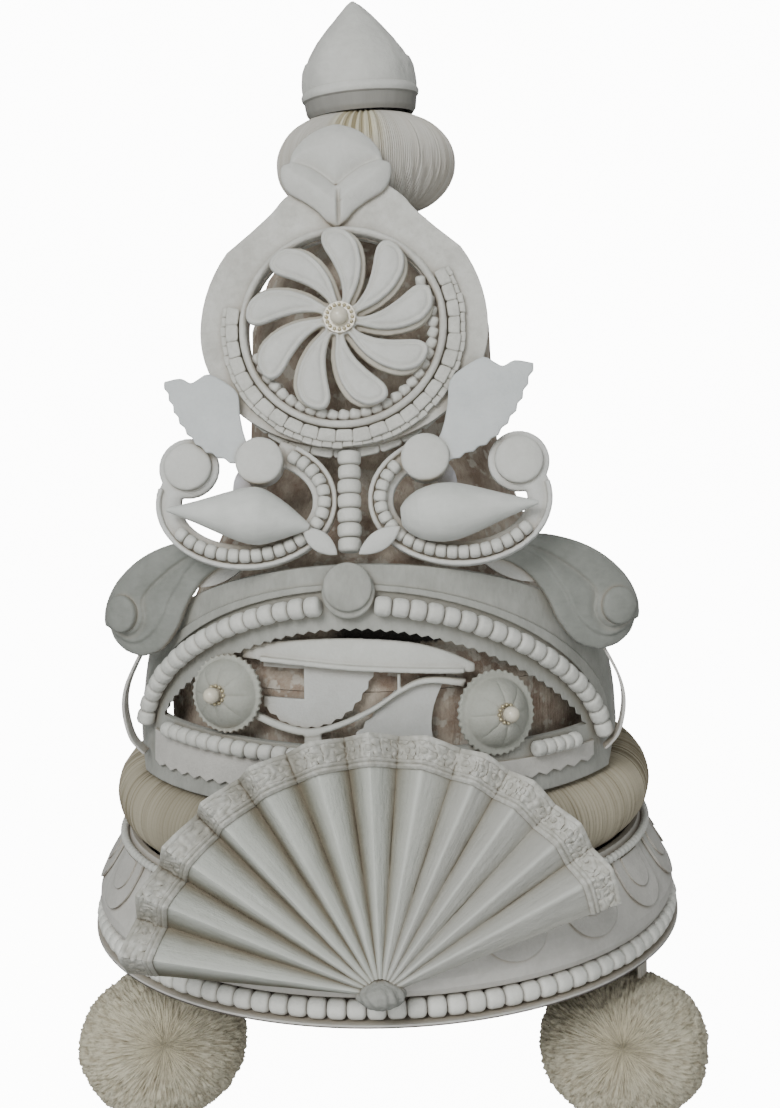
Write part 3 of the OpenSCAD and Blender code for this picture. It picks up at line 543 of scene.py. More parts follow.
def on_fan(across, along, lift):
    """Point of the folded sheet: folds counted across it, and the radius along it."""
    i = min(int(across), FAN_FOLDS - 1)
    t = across - i
    angle = fold_angle(i) + (fold_angle(i + 1) - fold_angle(i)) * t
    crest = -math.cos(math.pi * t) * 0.12 + (2 * t - 1) * 0.88
    side = (1 if i % 2 == 0 else -1) * crest
    left = min(max((across / FAN_FOLDS - 0.36) / 0.2, 0), 1)
    own = fold_depth[i] + (fold_depth[i + 1] - fold_depth[i]) * t
    deep = FAN_DEPTH * (0.12 + 0.88 * along / FAN_R) * (0.62 + 0.58 * left) * own
    belly = 0.0003 * math.sin(math.pi * t) * math.sin(math.pi * min(along / FAN_R, 1))
    along -= 0.0022 * (0.5 - 0.5 * side) * max(0, along / FAN_R - 0.6) / 0.4
    spot = Vector((along * math.cos(angle), along * math.sin(angle), side * deep + lift + belly))
    crepe = (noise.noise(Vector((spot.x * 90, spot.y * 90, 4))) * 0.0005
             + noise.noise(Vector((spot.x * 260, spot.y * 260, 9))) * 0.0002)
    return fan_place @ (spot + Vector((0, 0, crepe)))


def walled(sheet, name, thick):
    """Names the active sheet and gives it its thickness."""
    wall = sheet.modifiers.new("wall", "SOLIDIFY")
    wall.thickness, wall.offset = thick, -1
    bpy.ops.object.modifier_apply(modifier="wall")
    bpy.ops.object.shade_smooth_by_angle(angle=math.radians(50))
    sheet.name = sheet.data.name = name


def fan_sheet(name, inner, outer, lift, thick, columns, rows, ridge=None):
    """A flat grid, so many columns to a fold, wrapped onto the folds between two radii."""
    nothing_selected()
    bpy.ops.mesh.primitive_grid_add(x_subdivisions=FAN_FOLDS * columns, y_subdivisions=rows, size=1,
                                    calc_uvs=True)
    sheet = bpy.context.object
    for point in sheet.data.vertices:
        across, along = (point.co.x + 0.5) * FAN_FOLDS, point.co.y + 0.5
        extra = ridge(across, along) if ridge else 0
        point.co = on_fan(across, inner + (outer - inner) * along, lift + extra)
    take(sheet)
    walled(sheet, name, thick)
    return sheet


def pleat_part(paint, u):
    """How far across its pleat a place lies, from 0 to 1, with the crest at a half."""
    return paint.math("FRACT", u * (FAN_FOLDS / 2))


def fold_shade(paint, at):
    """1 near the crests and 0 deep in the folds. It fades to the right, where the folds are shallow."""
    u = paint.spread()[0]
    part = pleat_part(paint, u) + (paint.noise(at, 55, 3) - 0.5) * 0.16
    rise = paint.ramp(part, 0.0, 0.38, kind="SMOOTHSTEP")
    fall = paint.ramp(part, 0.94, 0.46, kind="SMOOTHSTEP")
    return 1 - (1 - rise * fall) * paint.ramp(u, 0.30, 0.54, to=(0.30, 1.0))


def crepe_paint():
    paint = Paint("crepe_paper", Roughness=0.8)
    at = paint.place()
    u, v = paint.spread()
    creased = paint.noise(paint.joint(u * 95, v * 4), 1.0, 4, 0.6)
    blotch = paint.noise(at, 45, 4, 0.6)
    patchy = blotch * 0.6 + creased * 0.4
    # Painted shade in the valleys; painted light on the faces of the deep pleats on the left, greyer faces on
    # the shallow right.
    valley_shade = paint.mix(blotch, (0.11, 0.10, 0.068), (0.20, 0.19, 0.145))
    lit_faces = paint.mix(patchy, (0.43, 0.445, 0.415), (0.59, 0.61, 0.58))
    shallow = paint.mix(patchy, (0.36, 0.36, 0.34), (0.46, 0.462, 0.445))
    tone = paint.mix(fold_shade(paint, at), valley_shade, paint.mix(paint.ramp(u, 0.28, 0.46), shallow, lit_faces))
    # Painted highlight: a thin pale line along every crest.
    crest = paint.ramp(paint.math("ABSOLUTE", pleat_part(paint, u) - 0.5), 0.05, 0.0)
    tone = paint.mix(crest * 0.7, tone, (0.64, 0.66, 0.63))
    # Painted shade in the corners.
    paint.feed(Base_Color=paint.mix(paint.open_air(0.0065, 0.25, 0.85, 8), (0.22, 0.19, 0.14), tone),
               Normal=paint.bump(paint.noise(at, 420, 5, 0.6) + creased * 1.6, 0.0004))
    return paint.material


fan_pleats = fan_sheet("fan_pleats", FAN_FROM, FAN_R, 0.001, 0.001, 8, 30)
mount_piece(fan_pleats, crepe_paint(), "fan", slot="folded_paper")

nothing_selected()
bpy.ops.mesh.primitive_uv_sphere_add(segments=96, ring_count=40, radius=1)
knot = bpy.context.object


def gathered(p):
    """A pinched bunch: creases run up its front and meet on top, where the folds go in."""
    turn = math.atan2(p.x, -p.y)
    crease = math.sin(turn * 13 + 1.6 * math.sin(p.z * 2.2) + 2 * noise.noise(p * 1.7))
    wide = 1 + 0.05 * crease * (1 - p.z ** 2) + 0.06 * noise.noise(p * 3.1)
    wide *= 1 - 0.28 * max(0, p.z) ** 2
    return Vector((p.x * wide * 0.0093, p.y * wide * 0.0090, p.z * 0.0059 + 0.0004 * noise.noise(p * 5)))


pressed(knot, gathered)
knot.data.transform(fan_foot @ Matrix.Rotation(math.radians(-10), 4, "X"))
knot_paper = pith_paint("knot_paper", (0.26, 0.265, 0.25), (0.36, 0.365, 0.35), 0.0003, 700, 0.8,
                        relief=0.0005)
mount_piece(smoothed(knot, "gathered_knot"), knot_paper, "fan_knot", slot="folded_paper")


# FAN LACE
# A strip of embossed paper lace follows the fan's outer edge over every fold.
# It has a rolled line along both sides and soft raised flowers and ovals between them.
LACE_W, LACE_OVER, FLOWER_ROW = 0.0112, 0.0006, 0.58


def lace_relief(across, along):
    """Height of the pattern: folds counted across, and 0 to 1 from the inner to the outer edge."""
    line = 0.0010 * (math.exp(-((along - 0.06) / 0.045) ** 2) + math.exp(-((along - 0.20) / 0.04) ** 2))
    line += 0.0008 * math.exp(-((along - 0.95) / 0.045) ** 2)
    wander = noise.noise(Vector((across * 1.3, along * 2, 7))) * 0.35
    aside, up = (across * 1.5 + wander) % 1 - 0.5, along - FLOWER_ROW
    reach = math.hypot(aside * 2.0, up * 2.6)
    petals = 1 + 0.25 * math.cos(5 * math.atan2(up, aside))
    flower = max(0, math.cos(reach * 7.5 * petals)) * math.exp(-reach * 0.7)
    leafy = max(0, noise.noise(Vector((across * 5.5, along * 4.5, 3))))
    inside = min(max((along - 0.25) / 0.05, 0), 1) * min(max((0.92 - along) / 0.05, 0), 1)
    return line + inside * (0.0011 * flower + 0.0009 * leafy)


def lace_paint():
    paint = Paint("paper_lace", Roughness=0.7)
    at = paint.place()
    u, v = paint.spread()
    leafy = paint.noise(paint.joint(u * 120, v * 4.5), 1.0, 3, 0.5)
    holes = paint.node("TexVoronoi", {"feature": "SMOOTH_F1"},
                       {"Vector": at, "Scale": 430.0, "Smoothness": 0.6})
    raised = leafy * 0.8 + (1 - holes) * 0.5
    # Painted shade: the embossing's hollows are darker than its raised flowers, and the folds and corners
    # darker still.
    tone = paint.mix(paint.ramp(raised, 0.50, 0.82), (0.47, 0.465, 0.43), (0.62, 0.62, 0.595))
    tone = paint.mix(fold_shade(paint, at) * 0.7 + 0.3, (0.24, 0.225, 0.185), tone)
    paint.feed(Base_Color=paint.mix(paint.open_air(0.0016, 0.35, 0.92, 8), (0.17, 0.15, 0.115), tone),
               Normal=paint.bump(raised, 0.0004))
    return paint.material


fan_border = fan_sheet("fan_border", FAN_R - LACE_W, FAN_R + LACE_OVER, 0.0022, 0.0008, 24, 34, lace_relief)
mount_piece(fan_border, lace_paint(), "fan_lace", slot="lace")


# ARCH
# The arch is one sheet of pith bent round the core, with a raised lip and a pinked inner edge.
# Rolled beads run along it and along the sill below, on both sides of a small double disc.
def softened(piece, times):
    soft = piece.modifiers.new("soft", "SMOOTH")
    soft.factor, soft.iterations = 0.5, times
    bpy.ops.object.modifier_apply(modifier="soft")


def cushion(inside, rise, reach):
    """Height at a distance from the edge, for a face that swells by a rise within a reach."""
    return rise * (1 - (1 - min(inside / reach, 1)) ** 2)


def pillowed(name, source, place, material, rise, reach, voxel=0.00045, smooth=3, swell=cushion, keep=0.5):
    """Softens a flat cut piece: its edges round off, and its face swells the farther it is from them."""
    piece = bpy.data.objects.new(name, nodes[source].data.copy())
    bpy.context.scene.collection.objects.link(piece)
    piece.data.transform(place.inverted())
    take(piece)
    blocks = piece.modifiers.new("one_skin", "REMESH")
    blocks.mode, blocks.voxel_size = "VOXEL", voxel
    bpy.ops.object.modifier_apply(modifier="one_skin")
    points = piece.data.vertices
    facing = [point.normal.z for point in points]
    sides = [point.co.xy.to_3d() for point, up in zip(points, facing) if abs(up) < 0.4]
    edge = KDTree(len(sides))
    for i, co in enumerate(sides):
        edge.insert(co, i)
    edge.balance()
    for point, up in zip(points, facing):
        if up > 0.4:
            inside = edge.find(point.co.xy.to_3d())[2]
            point.co.z += swell(inside, rise, reach) + 0.00018 * noise.noise(point.co * 150)
    softened(piece, smooth)
    fewer = piece.modifiers.new("fewer", "DECIMATE")
    fewer.ratio = keep
    bpy.ops.object.modifier_apply(modifier="fewer")
    piece.data.transform(place)
    bpy.ops.object.shade_smooth()
    mount_piece(piece, material, source)
    return piece


arch_pith = pith_paint("arch_pith", (0.30, 0.305, 0.285), (0.40, 0.405, 0.385), 0.0008, 600, 0.72,
                       streak=(1, 1, 0.35), crevice_shade=(0.27, 0.25, 0.21), reach=0.005)
finish_nodes(arch_pith, "arch_panel")
finish_nodes(scallop_pith, "sill_flange", "side_stays")
# The sheet is a cone: its radius at the foot's height, how fast it narrows, and how far its top leans over
ARCH_R, ARCH_FOOT, ARCH_SLOPE, ARCH_TILT = 0.112, 0.082, 0.155, 0.036


def arch_reach(z):
    return ARCH_R - ARCH_SLOPE * (z - ARCH_FOOT)


def on_arch(x, z, lift):
    reach = arch_reach(z) + lift
    return Vector((x, -math.sqrt(reach * reach - x * x), z))


def at_arch(x, z, turn=1):
    """Plane that lies on the arch at a point, facing out."""
    return (Matrix.Translation(on_arch(x, z, 0))
            @ Matrix.Rotation(turn * math.asin(x / arch_reach(z)), 4, "Z")
            @ Matrix.Rotation(math.radians(90) - math.atan(ARCH_SLOPE), 4, "X"))


pillowed("rosette", "arch_rosette", at_arch(-0.0044, 0.161), arch_pith, rise=0.0010, reach=0.006)
BEADS_W, BEADS_FOOT, BEADS_H, BEADS_END, BEAD_POINTS = 0.098, 0.092, 0.063, 84, 52
arch_rows = []
for side, start in ((-1, 11), (1, 5.2)):
    row = []
    for k in range(BEAD_POINTS + 1):
        turn = math.radians(start + (BEADS_END - start) * k / BEAD_POINTS)
        x = side * BEADS_W * math.sin(turn)
        row.append(on_arch(x, BEADS_FOOT + BEADS_H * max(math.cos(turn), 0) ** 1.2 - ARCH_TILT * x, 0.0042))
    arch_rows.append(row)
mount_piece(bead_string("arch_string", arch_rows, radius=0.0040, pitch=0.0069, seed=5),
            bead_pith, "arch_beads")
SILL_Z, SILL_LIFT = 0.0953, 0.0036
sill_rows = [[on_arch(mm * 0.001, SILL_Z - ARCH_TILT * mm * 0.001, SILL_LIFT) for mm in range(first, last, 3)]
             for first, last in ((-84, 34), (69, 85))]
mount_piece(bead_string("sill_string", sill_rows, radius=0.0033, pitch=0.0063, seed=6),
            bead_pith, "sill_beads")


# INSIDE THE EYE
# Behind the arch a leafy vine cut from pith runs from boss to boss under a crossbar.
# The bosses are domes of pith in soft lobes, glued on pinked discs, each with a small pearl in gilt beads.
eye_pith = pith_paint("eye_pith", (0.55, 0.555, 0.53), (0.63, 0.64, 0.62), 0.0006, 800, 0.7)
boss_pith = pith_paint("boss_pith", (0.34, 0.345, 0.31), (0.42, 0.43, 0.395), 0.0006, 800, 0.7)
leaf_pith = pith_paint("leaf_pith", (0.49, 0.495, 0.485), (0.57, 0.58, 0.575), 0.0003, 900, 0.62)
front_place = Matrix.Rotation(math.radians(90), 4, "X")
pillowed("eye_bar", "crossbar", front_place, eye_pith, rise=0.0007, reach=0.004)
pillowed("eye_vine", "vine", front_place, eye_pith, rise=0.0006, reach=0.0012, voxel=0.00035, smooth=2)
finish_nodes(leaf_pith, "vine_leaf_left", "vine_leaf_right", "wing_leaf_left", "wing_leaf_right")


def speckled(name, dark, light, scale, **fixed):
    """A smooth bead: two near colours in fine specks."""
    paint = Paint(name, **fixed)
    paint.feed(Base_Color=paint.mix(paint.noise(paint.place(), scale, 2), dark, light))
    return paint.material


pearl = speckled("pearl", (0.62, 0.57, 0.46), (0.78, 0.74, 0.64), 300, Roughness=0.16, Specular_IOR_Level=0.6)
seed_gold = speckled("seed_gold", (0.44, 0.38, 0.24), (0.66, 0.60, 0.44), 500, Roughness=0.28, Metallic=0.6)
BOSS_DOME, BOSS_RISE, BOSS_BACK, BOSS_GROOVE = 0.0140, 0.009, 0.0024, 0.0009


def bud(name, source, place):
    """A boss: the scored dome pressed into eight soft lobes that meet in a flat middle."""
    ball = (BOSS_DOME ** 2 + BOSS_RISE ** 2) / (2 * BOSS_RISE)

    def lobed(p):
        local = place.inverted() @ p
        out = math.hypot(local.x, local.y)
        if out > BOSS_DOME * 0.985 or local.z < BOSS_BACK + 0.0002:
            return p
        groove = 1 - abs(math.sin(4 * math.atan2(local.y, local.x))) ** 0.35
        swell = math.sqrt(ball * ball - out * out) - ball + BOSS_RISE
        fade = min(out / 0.005, 1) * min((BOSS_DOME - out) / 0.003, 1)
        local.z = BOSS_BACK + min(swell, BOSS_RISE - BOSS_GROOVE) - BOSS_GROOVE * groove * fade
        return place @ local

    dome = pillowed(name, source, place, boss_pith, rise=0, reach=1, voxel=0.0004, smooth=1, keep=0.7)
    pressed(dome, lobed)
    take(dome)
    softened(dome, 4)


def seeds(name, source, place, grains, ring, height):
    """A pearl with a ring of tiny gilt beads round its foot."""
    nothing_selected()
    bpy.ops.mesh.primitive_uv_sphere_add(segments=12, ring_count=8, radius=0.0008)
    grain = bpy.context.object
    bpy.ops.object.shade_smooth()
    strung = [copied(grain, place @ Matrix.Translation(on_ring(2 * math.pi * i / grains, ring, height)))
              for i in range(grains)]
    bpy.data.objects.remove(grain)
    mount_piece(joined(strung, name), seed_gold, slot="pearl")
    finish_nodes(pearl, source)


for side, x, z, turn in (("left", -0.0554, 0.1174, 0.66), ("right", 0.0514, 0.1090, 1)):
    bud("bud_" + side, "boss_" + side, at_arch(x, z, turn))
    seeds("bud_seeds_" + side, "boss_pearl_" + side, at_arch(x, z, turn), 12, 0.0036, 0.0108)


# WINGS
# Each wing is cut in three steps from pith and rolls up into a scroll with a disc at its middle.
# It is glued by its root to the core, and a thin stay ties the scroll to the end of the arch.
# The wings' pith is painted much darker than the other pith: painted shade on wings that lean back from the
# light.
wing_pith_shaded = pith_paint("wing_pith_shaded", (0.215, 0.225, 0.21), (0.275, 0.285, 0.27), 0.0008, 500, 0.7,
                       streak=(0.35, 1, 1))
for side, sign in (("left", -1), ("right", 1)):
    wing_place = (Matrix.Translation((sign * 0.038, -0.0889, 0.165))
                  @ Matrix.Rotation(math.radians(sign * 27), 4, "Z")
                  @ Matrix.Rotation(math.radians(82), 4, "X"))
    pillowed("scroll_wing_" + side, "wing_" + side, wing_place, wing_pith_shaded,
             rise=0.0011, reach=0.005, voxel=0.0006)
    pillowed("scroll_disc_" + side, "wing_disc_" + side, wing_place, wing_pith_shaded,
             rise=0.0010, reach=0.005, voxel=0.0005, smooth=4)


# FRONT PANEL
# Two curled loops of pith stand like birds over the arch, edged with beads, each with two discs,
# a rolled spindle across its hollow and a pinked tail leaf above. A column of beads parts them.
panel_place = Matrix.Translation((-0.003, -0.092, 0.168)) @ Matrix.Rotation(math.radians(73), 4, "X")


def on_panel(x, y, lift):
    return panel_place @ Vector((x, y, lift))


bird_pith = pith_paint("bird_pith", (0.57, 0.58, 0.57), (0.66, 0.67, 0.665), 0.0007, 700, 0.66)
disc_pith = pith_paint("disc_pith", (0.56, 0.565, 0.55), (0.64, 0.645, 0.63), 0.0009, 500, 0.68)
tail_pith = pith_paint("tail_pith", (0.54, 0.57, 0.59), (0.62, 0.65, 0.67), 0.0004, 700, 0.6)
spindle_pith = pith_paint("spindle_pith", (0.58, 0.60, 0.585), (0.68, 0.695, 0.685), 0.0006, 300, 0.6,
                          streak=(0.3, 1, 1))
crest_pith = pith_paint("crest_pith", (0.50, 0.50, 0.56), (0.58, 0.58, 0.64), 0.0003, 700, 0.6)
for side in ("left", "right"):
    pillowed("bird_" + side, "bird_loop_" + side, panel_place, bird_pith,
             rise=0.0010, reach=0.004, voxel=0.0005)
    for name, source in (("eye_disc_", "inner_disc_"), ("crest_disc_", "outer_disc_")):
        pillowed(name + side, source + side, panel_place, disc_pith,
                 rise=0.0012, reach=0.006, voxel=0.0005, smooth=4)
    pillowed("tail_" + side, "tail_leaf_" + side, panel_place, tail_pith,
             rise=0.0006, reach=0.006, voxel=0.0004, smooth=2)
finish_nodes(spindle_pith, "spindle_right")
spindle_foot, SPINDLE_TIP, SPINDLE_BELLY = Vector((-0.0196, 0.018, 0.0106)), math.radians(5), 0.019


def tapered(p):
    """The left spindle runs to a point at its inner end too."""
    local = panel_place.inverted() @ p
    from_foot = spindle_foot.x - local.x
    if from_foot < SPINDLE_BELLY:
        share = max(from_foot / SPINDLE_BELLY, 0)
        thin = (0.10 + 0.90 * math.sin(share * math.pi / 2)) / (1 - 0.69 * (1 - share) ** 3.2)
        middle_y = spindle_foot.y + from_foot * math.tan(SPINDLE_TIP)
        local.y = middle_y + (local.y - middle_y) * thin - 0.0035 * (1 - share) ** 2
        local.z = spindle_foot.z + (local.z - spindle_foot.z) * thin
        local.x += 0.003 * (1 - share) ** 2
    return panel_place @ local


spindle_copy = bpy.data.objects.new("spindle_points", nodes["spindle_left"].data.copy())
bpy.context.scene.collection.objects.link(spindle_copy)
pressed(spindle_copy, tapered)
mount_piece(spindle_copy, spindle_pith, "spindle_left")
pillowed("root_leaves", "base_leaves", panel_place, bird_pith,
         rise=0.0008, reach=0.003, voxel=0.0004, smooth=2)
finish_nodes(crest_pith, "crest_leaves")
LOOP_X, LOOP_Y, LOOP_WIDE, LOOP_HIGH, LOOP_END, LOOP_POINTS = 0.0425, 0.0263, 0.0314, 0.0219, 324, 40
for name, sign, start, seed in (("right", 1, 145, 7), ("left", -1, 128, 8)):
    row = []
    for i in range(LOOP_POINTS + 1):
        turn = math.radians(start + (LOOP_END - start) * i / LOOP_POINTS)
        x, y = LOOP_X + LOOP_WIDE * math.cos(turn), LOOP_Y + LOOP_HIGH * math.sin(turn)
        row.append(on_panel(sign * x, y, 0.0059))
    mount_piece(bead_string("bird_string_" + name, [row], radius=0.0027, pitch=0.0046, seed=seed),
                bead_pith, "bird_beads_" + name)
column_row = [on_panel(-0.0012, 0.0081 + 0.035 * i / 10, 0.0045) for i in range(11)]
mount_piece(bead_string("column_string", [column_row], radius=0.0047, pitch=0.0059, seed=9),
            bead_pith, "bead_column")


# MEDALLION
# A round plate with a long neck carries a ring of beads, a raised hoop and rows of soft square dentils.
# In its opening a flower of teardrop petals in two layers turns like a pinwheel round a pearl.
plate_pith = pith_paint("plate_pith", (0.49, 0.485, 0.46), (0.66, 0.66, 0.64), 0.0008, 420, 0.76,
                        relief=0.0005, waves=0.0014)
finish_nodes(plate_pith, "medallion_plate", "flower_post")
petal_pith = pith_paint("petal_pith", (0.55, 0.555, 0.54), (0.64, 0.645, 0.63), 0.0009, 500, 0.66,
                        crevice_shade=(0.34, 0.30, 0.22), reach=0.004)
under_pith = pith_paint("under_pith", (0.44, 0.425, 0.37), (0.54, 0.525, 0.475), 0.0007, 500, 0.7)


def petal_swell(inside, rise, reach):
    """A petal's face stands up inside a low rim, with a fine groove between."""
    rim = 0.0005 * math.exp(-((inside - 0.0008) / 0.0005) ** 2)
    groove = 0.0006 * math.exp(-((inside - 0.0019) / 0.0005) ** 2)
    return rim - groove + cushion(inside, rise, reach)


pillowed("pinwheel", "flower_petals", panel_place, petal_pith,
         rise=0.0014, reach=0.007, voxel=0.0004, smooth=2, swell=petal_swell)
pillowed("pinwheel_back", "flower_under", panel_place, under_pith,
         rise=0.0006, reach=0.003, voxel=0.0006, smooth=2)
pillowed("hoop", "medallion_ring", panel_place, plate_pith,
         rise=0.0010, reach=0.0016, voxel=0.0005, smooth=4)
block_pith = pith_paint("block_pith", (0.50, 0.50, 0.475), (0.64, 0.64, 0.615), 0.0005, 600, 0.74,
                        crevice_shade=(0.36, 0.34, 0.295), reach=0.0025, relief=0.0004)
nothing_selected()
bpy.ops.mesh.primitive_cube_add(size=1)
pith_block = bpy.context.object
bpy.ops.object.mode_set(mode="EDIT")
bpy.ops.mesh.bevel(offset=0.17, segments=4, affect="EDGES")
bpy.ops.object.mode_set(mode="OBJECT")
bpy.ops.object.shade_smooth()
pressed(pith_block, lambda p: Vector((p.x, p.y * (1 + 0.15 * p.x), p.z)))
MEDAL_X, MEDAL_Y = -0.0034, 0.097


def block_row(name, *stands_for, seed, inner, outer, foot, height, start, step, count):
    """Soft square blocks side by side round the plate, no two quite alike."""
    luck = random.Random(seed)
    wide = math.radians(step) * (inner + outer) / 2
    blocks = []
    for turn in (start + step * (i + 0.5) for i in range(count)):
        deep = outer - inner - luck.uniform(0, 0.0008)
        lean = (Matrix.Rotation(luck.uniform(-0.05, 0.05), 4, "Y")
                @ Matrix.Rotation(luck.uniform(-0.05, 0.05), 4, "X"))
        size = (deep, wide * luck.uniform(0.97, 1.03), height * luck.uniform(0.88, 1.08), 1)
        blocks.append(copied(pith_block, panel_place @ Matrix.Translation((MEDAL_X, MEDAL_Y, 0))
                             @ Matrix.Rotation(math.radians(turn), 4, "Z")
                             @ Matrix.Translation((inner + deep / 2, 0, foot + height / 2)) @ lean
                             @ Matrix.Diagonal(size)))
    mount_piece(joined(blocks, name), block_pith, *stands_for)


block_row("blocks_inner", "dentils", seed=41, inner=0.0424, outer=0.0480, foot=0.0031, height=0.0042,
          start=168.75, step=8.85, count=25)
block_row("blocks_outer", seed=42, inner=0.0472, outer=0.0500, foot=0.0030, height=0.0030,
          start=168.75, step=4.8, count=46)
block_row("blocks_back", "dentil_fringe", seed=43, inner=0.0426, outer=0.0530, foot=-0.0027, height=0.0024,
          start=201, step=138 / 13, count=13)
bpy.data.objects.remove(pith_block)

trefoil_bud = pillowed("trefoil_bud", "trefoil", panel_place, disc_pith,
                       rise=0.0042, reach=0.010, voxel=0.0005, smooth=6)
slit_foot, SLIT_LONG = Vector((-0.0048, 0.140, 0)), 0.0155


def slit(p):
    """A short cut runs up from the foot of the trefoil between its lobes."""
    local = panel_place.inverted() @ p
    up = local.y - slit_foot.y
    if 0 < up < SLIT_LONG and local.z > 0.0045:
        near = math.exp(-((local.x - slit_foot.x) / 0.0007) ** 2)
        local.z -= 0.0026 * near * math.sin(math.pi * up / SLIT_LONG) ** 0.5
    return panel_place @ local


pressed(trefoil_bud, slit)
flower_middle = panel_place @ Matrix.Translation((-0.004, 0.0986, 0))
seeds("flower_seeds", "flower_pearl", flower_middle, 16, 0.0052, 0.0140)
MEDAL_BEADS, MEDAL_POINTS = 0.0365, 100
ring_row = []
for i in range(MEDAL_POINTS + 1):
    turn = math.radians(200 + 190 * i / MEDAL_POINTS)
    x, y = MEDAL_X + MEDAL_BEADS * math.cos(turn), MEDAL_Y + MEDAL_BEADS * math.sin(turn)
    ring_row.append(on_panel(x, y, 0.0054))
mount_piece(bead_string("medallion_string", [ring_row], radius=0.0022, pitch=0.0046, seed=10, slant=0.55),
            bead_pith, "medallion_beads")


# BALL AND CAP
# A ball of thin paper leaves sits on the neck, its leaves a little open at the front, where they are painted
# yellow with painted shade in each fold.
# On it stands a bud of pith: broad petals lapped over each other on a narrow band, which is painted dark as
# the shade under their lip.
BALL_R, BALL_Z, BALL_HALF, BALL_LEAVES, FRONT_FOLDS = 0.0393, 0.3332, 0.0227, 260, 58
nothing_selected()
bpy.ops.mesh.primitive_uv_sphere_add(segments=BALL_LEAVES * 2, ring_count=30, radius=1)
paper_globe = bpy.context.object
ball_luck = random.Random(21)
ball_stand = [ball_luck.uniform(-1, 1) for _ in range(BALL_LEAVES)]


def ball_leaf(p):
    """Every second line of points goes in. Wider folds open high at the front and low at its right."""
    turn = math.atan2(p.y, p.x)
    line = round((turn / (2 * math.pi)) % 1 * BALL_LEAVES * 2) % (2 * BALL_LEAVES)
    around = math.hypot(p.x, p.y)
    full = around ** 0.7 if around > 1e-6 else 0
    grow = 1 - (0.016 if line % 2 else 0) + 0.008 * ball_stand[line // 2]
    apart = max(0, 1 - ((turn + 1.60) / 0.34) ** 2) * max(0, p.z + 0.1) * 0.14
    grow -= apart * (0.5 + 0.5 * math.cos(turn * FRONT_FOLDS))
    low = max(0, 1 - ((turn + 0.95) / 0.6) ** 2) * max(0, min(1, 0.45 - p.z * 1.6))
    grow -= 0.035 * low * (0.5 + 0.5 * math.sin(turn * 46 + 5 * p.z + 3 * noise.noise(p * 3)))
    grow += 0.012 * noise.noise(p * 2.2)
    out = BALL_R * full * (1 + (grow - 1) * min(1, full * 1.6))
    return on_ring(turn, out, BALL_Z + BALL_HALF * p.z)


pressed(paper_globe, ball_leaf)
paper_globe.name = paper_globe.data.name = "paper_globe"
globe_paper = paper_leaf_paint("globe_paper", (0.50, 0.485, 0.455), (0.60, 0.59, 0.565), (0.40, 0.36, 0.30),
                               BALL_LEAVES, contrast=0.55, front_folds=FRONT_FOLDS)
mount_piece(paper_globe, globe_paper, "paper_ball", slot="pleated_paper")

# Outside of the bud from its foot to its tip: radius and height
bud_rows = ((0.0214, 0.0), (0.0225, 0.0015), (0.0229, 0.0045), (0.0231, 0.0066), (0.0240, 0.0074),
            (0.0242, 0.0082), (0.0237, 0.0091), (0.0229, 0.0100), (0.0229, 0.0140), (0.0224, 0.0184),
            (0.0200, 0.0240), (0.0166, 0.0296), (0.0122, 0.0352), (0.0076, 0.0404), (0.0032, 0.0446),
            (0.0004, 0.0463))
BUD_BAND, BUD_NECK, BUD_LAPS = 0.0068, 0.0105, 0.0215
bud_place = Matrix.Translation((-0.0012, 0, 0.3552)) @ Matrix.Rotation(math.radians(-3), 4, "Y")
nothing_selected()
bpy.ops.mesh.primitive_grid_add(x_subdivisions=160, y_subdivisions=90, size=1)
cap_bud = bpy.context.object


def lapped(p):
    """Wraps the flat grid into the bud and steps it where one petal laps over the next."""
    turn, up = (p.x + 0.5) * 2 * math.pi, (p.y + 0.5) * (len(bud_rows) - 1)
    k = min(int(up), len(bud_rows) - 2)
    radius = bud_rows[k][0] + (bud_rows[k + 1][0] - bud_rows[k][0]) * (up - k)
    z = bud_rows[k][1] + (bud_rows[k + 1][1] - bud_rows[k][1]) * (up - k)
    front = (math.degrees(turn) + 180) % 360 - 180
    facet = 1 / math.cos(math.radians((front + 100) % 72 - 36)) - 1
    radius *= 1 - 0.10 * min(max((z - 0.0095) / 0.02, 0), 1) * (0.11 - facet)
    for foot, tip, way in ((84, 26, 1), (-92, -34, -1)):
        edge = foot + (tip - foot) * min(max((z - BUD_LAPS) / 0.0245, 0), 1)
        past = min(max(way * (front - edge) / 3, 0), 1) if abs(front) < 150 else 0
        if z > BUD_LAPS:
            step = 0.0009 * past + 0.0004 * math.exp(-((front - edge) / 2.5) ** 2)
            radius -= step * min((z - BUD_LAPS) / 0.003, 1)
        elif z > BUD_NECK:
            radius += 0.0008 * min(max((way * front - 60) / 20, 0), 1)
    radius += 0.0003 * noise.noise(Vector((math.sin(turn) * 2, math.cos(turn) * 2, z * 90)))
    return bud_place @ Vector((radius * math.sin(turn), -radius * math.cos(turn), z))


pressed(cap_bud, lapped)
take(cap_bud)
bpy.ops.object.mode_set(mode="EDIT")
closed()
walled(cap_bud, "cap_bud", 0.0016)
cap_pith = pith_paint("cap_pith", (0.55, 0.555, 0.54), (0.645, 0.65, 0.635), 0.0005, 350, 0.7, relief=0.0004)
# Painted shade: the band under the bud's lip is dark, as it lies in the lip's shadow.
band_shade = Paint("cap_band_shade", Roughness=0.75)
band_spot = band_shade.noise(band_shade.place(Scale=(1, 1, 0.2)), 240, 4)
band_shade.feed(Base_Color=band_shade.mix(band_spot, (0.22, 0.215, 0.205), (0.32, 0.315, 0.30)),
               Normal=band_shade.bump(band_spot, 0.0003))
mount_piece(cap_bud, cap_pith, "cap")
cap_bud.data.materials.append(band_shade.material)
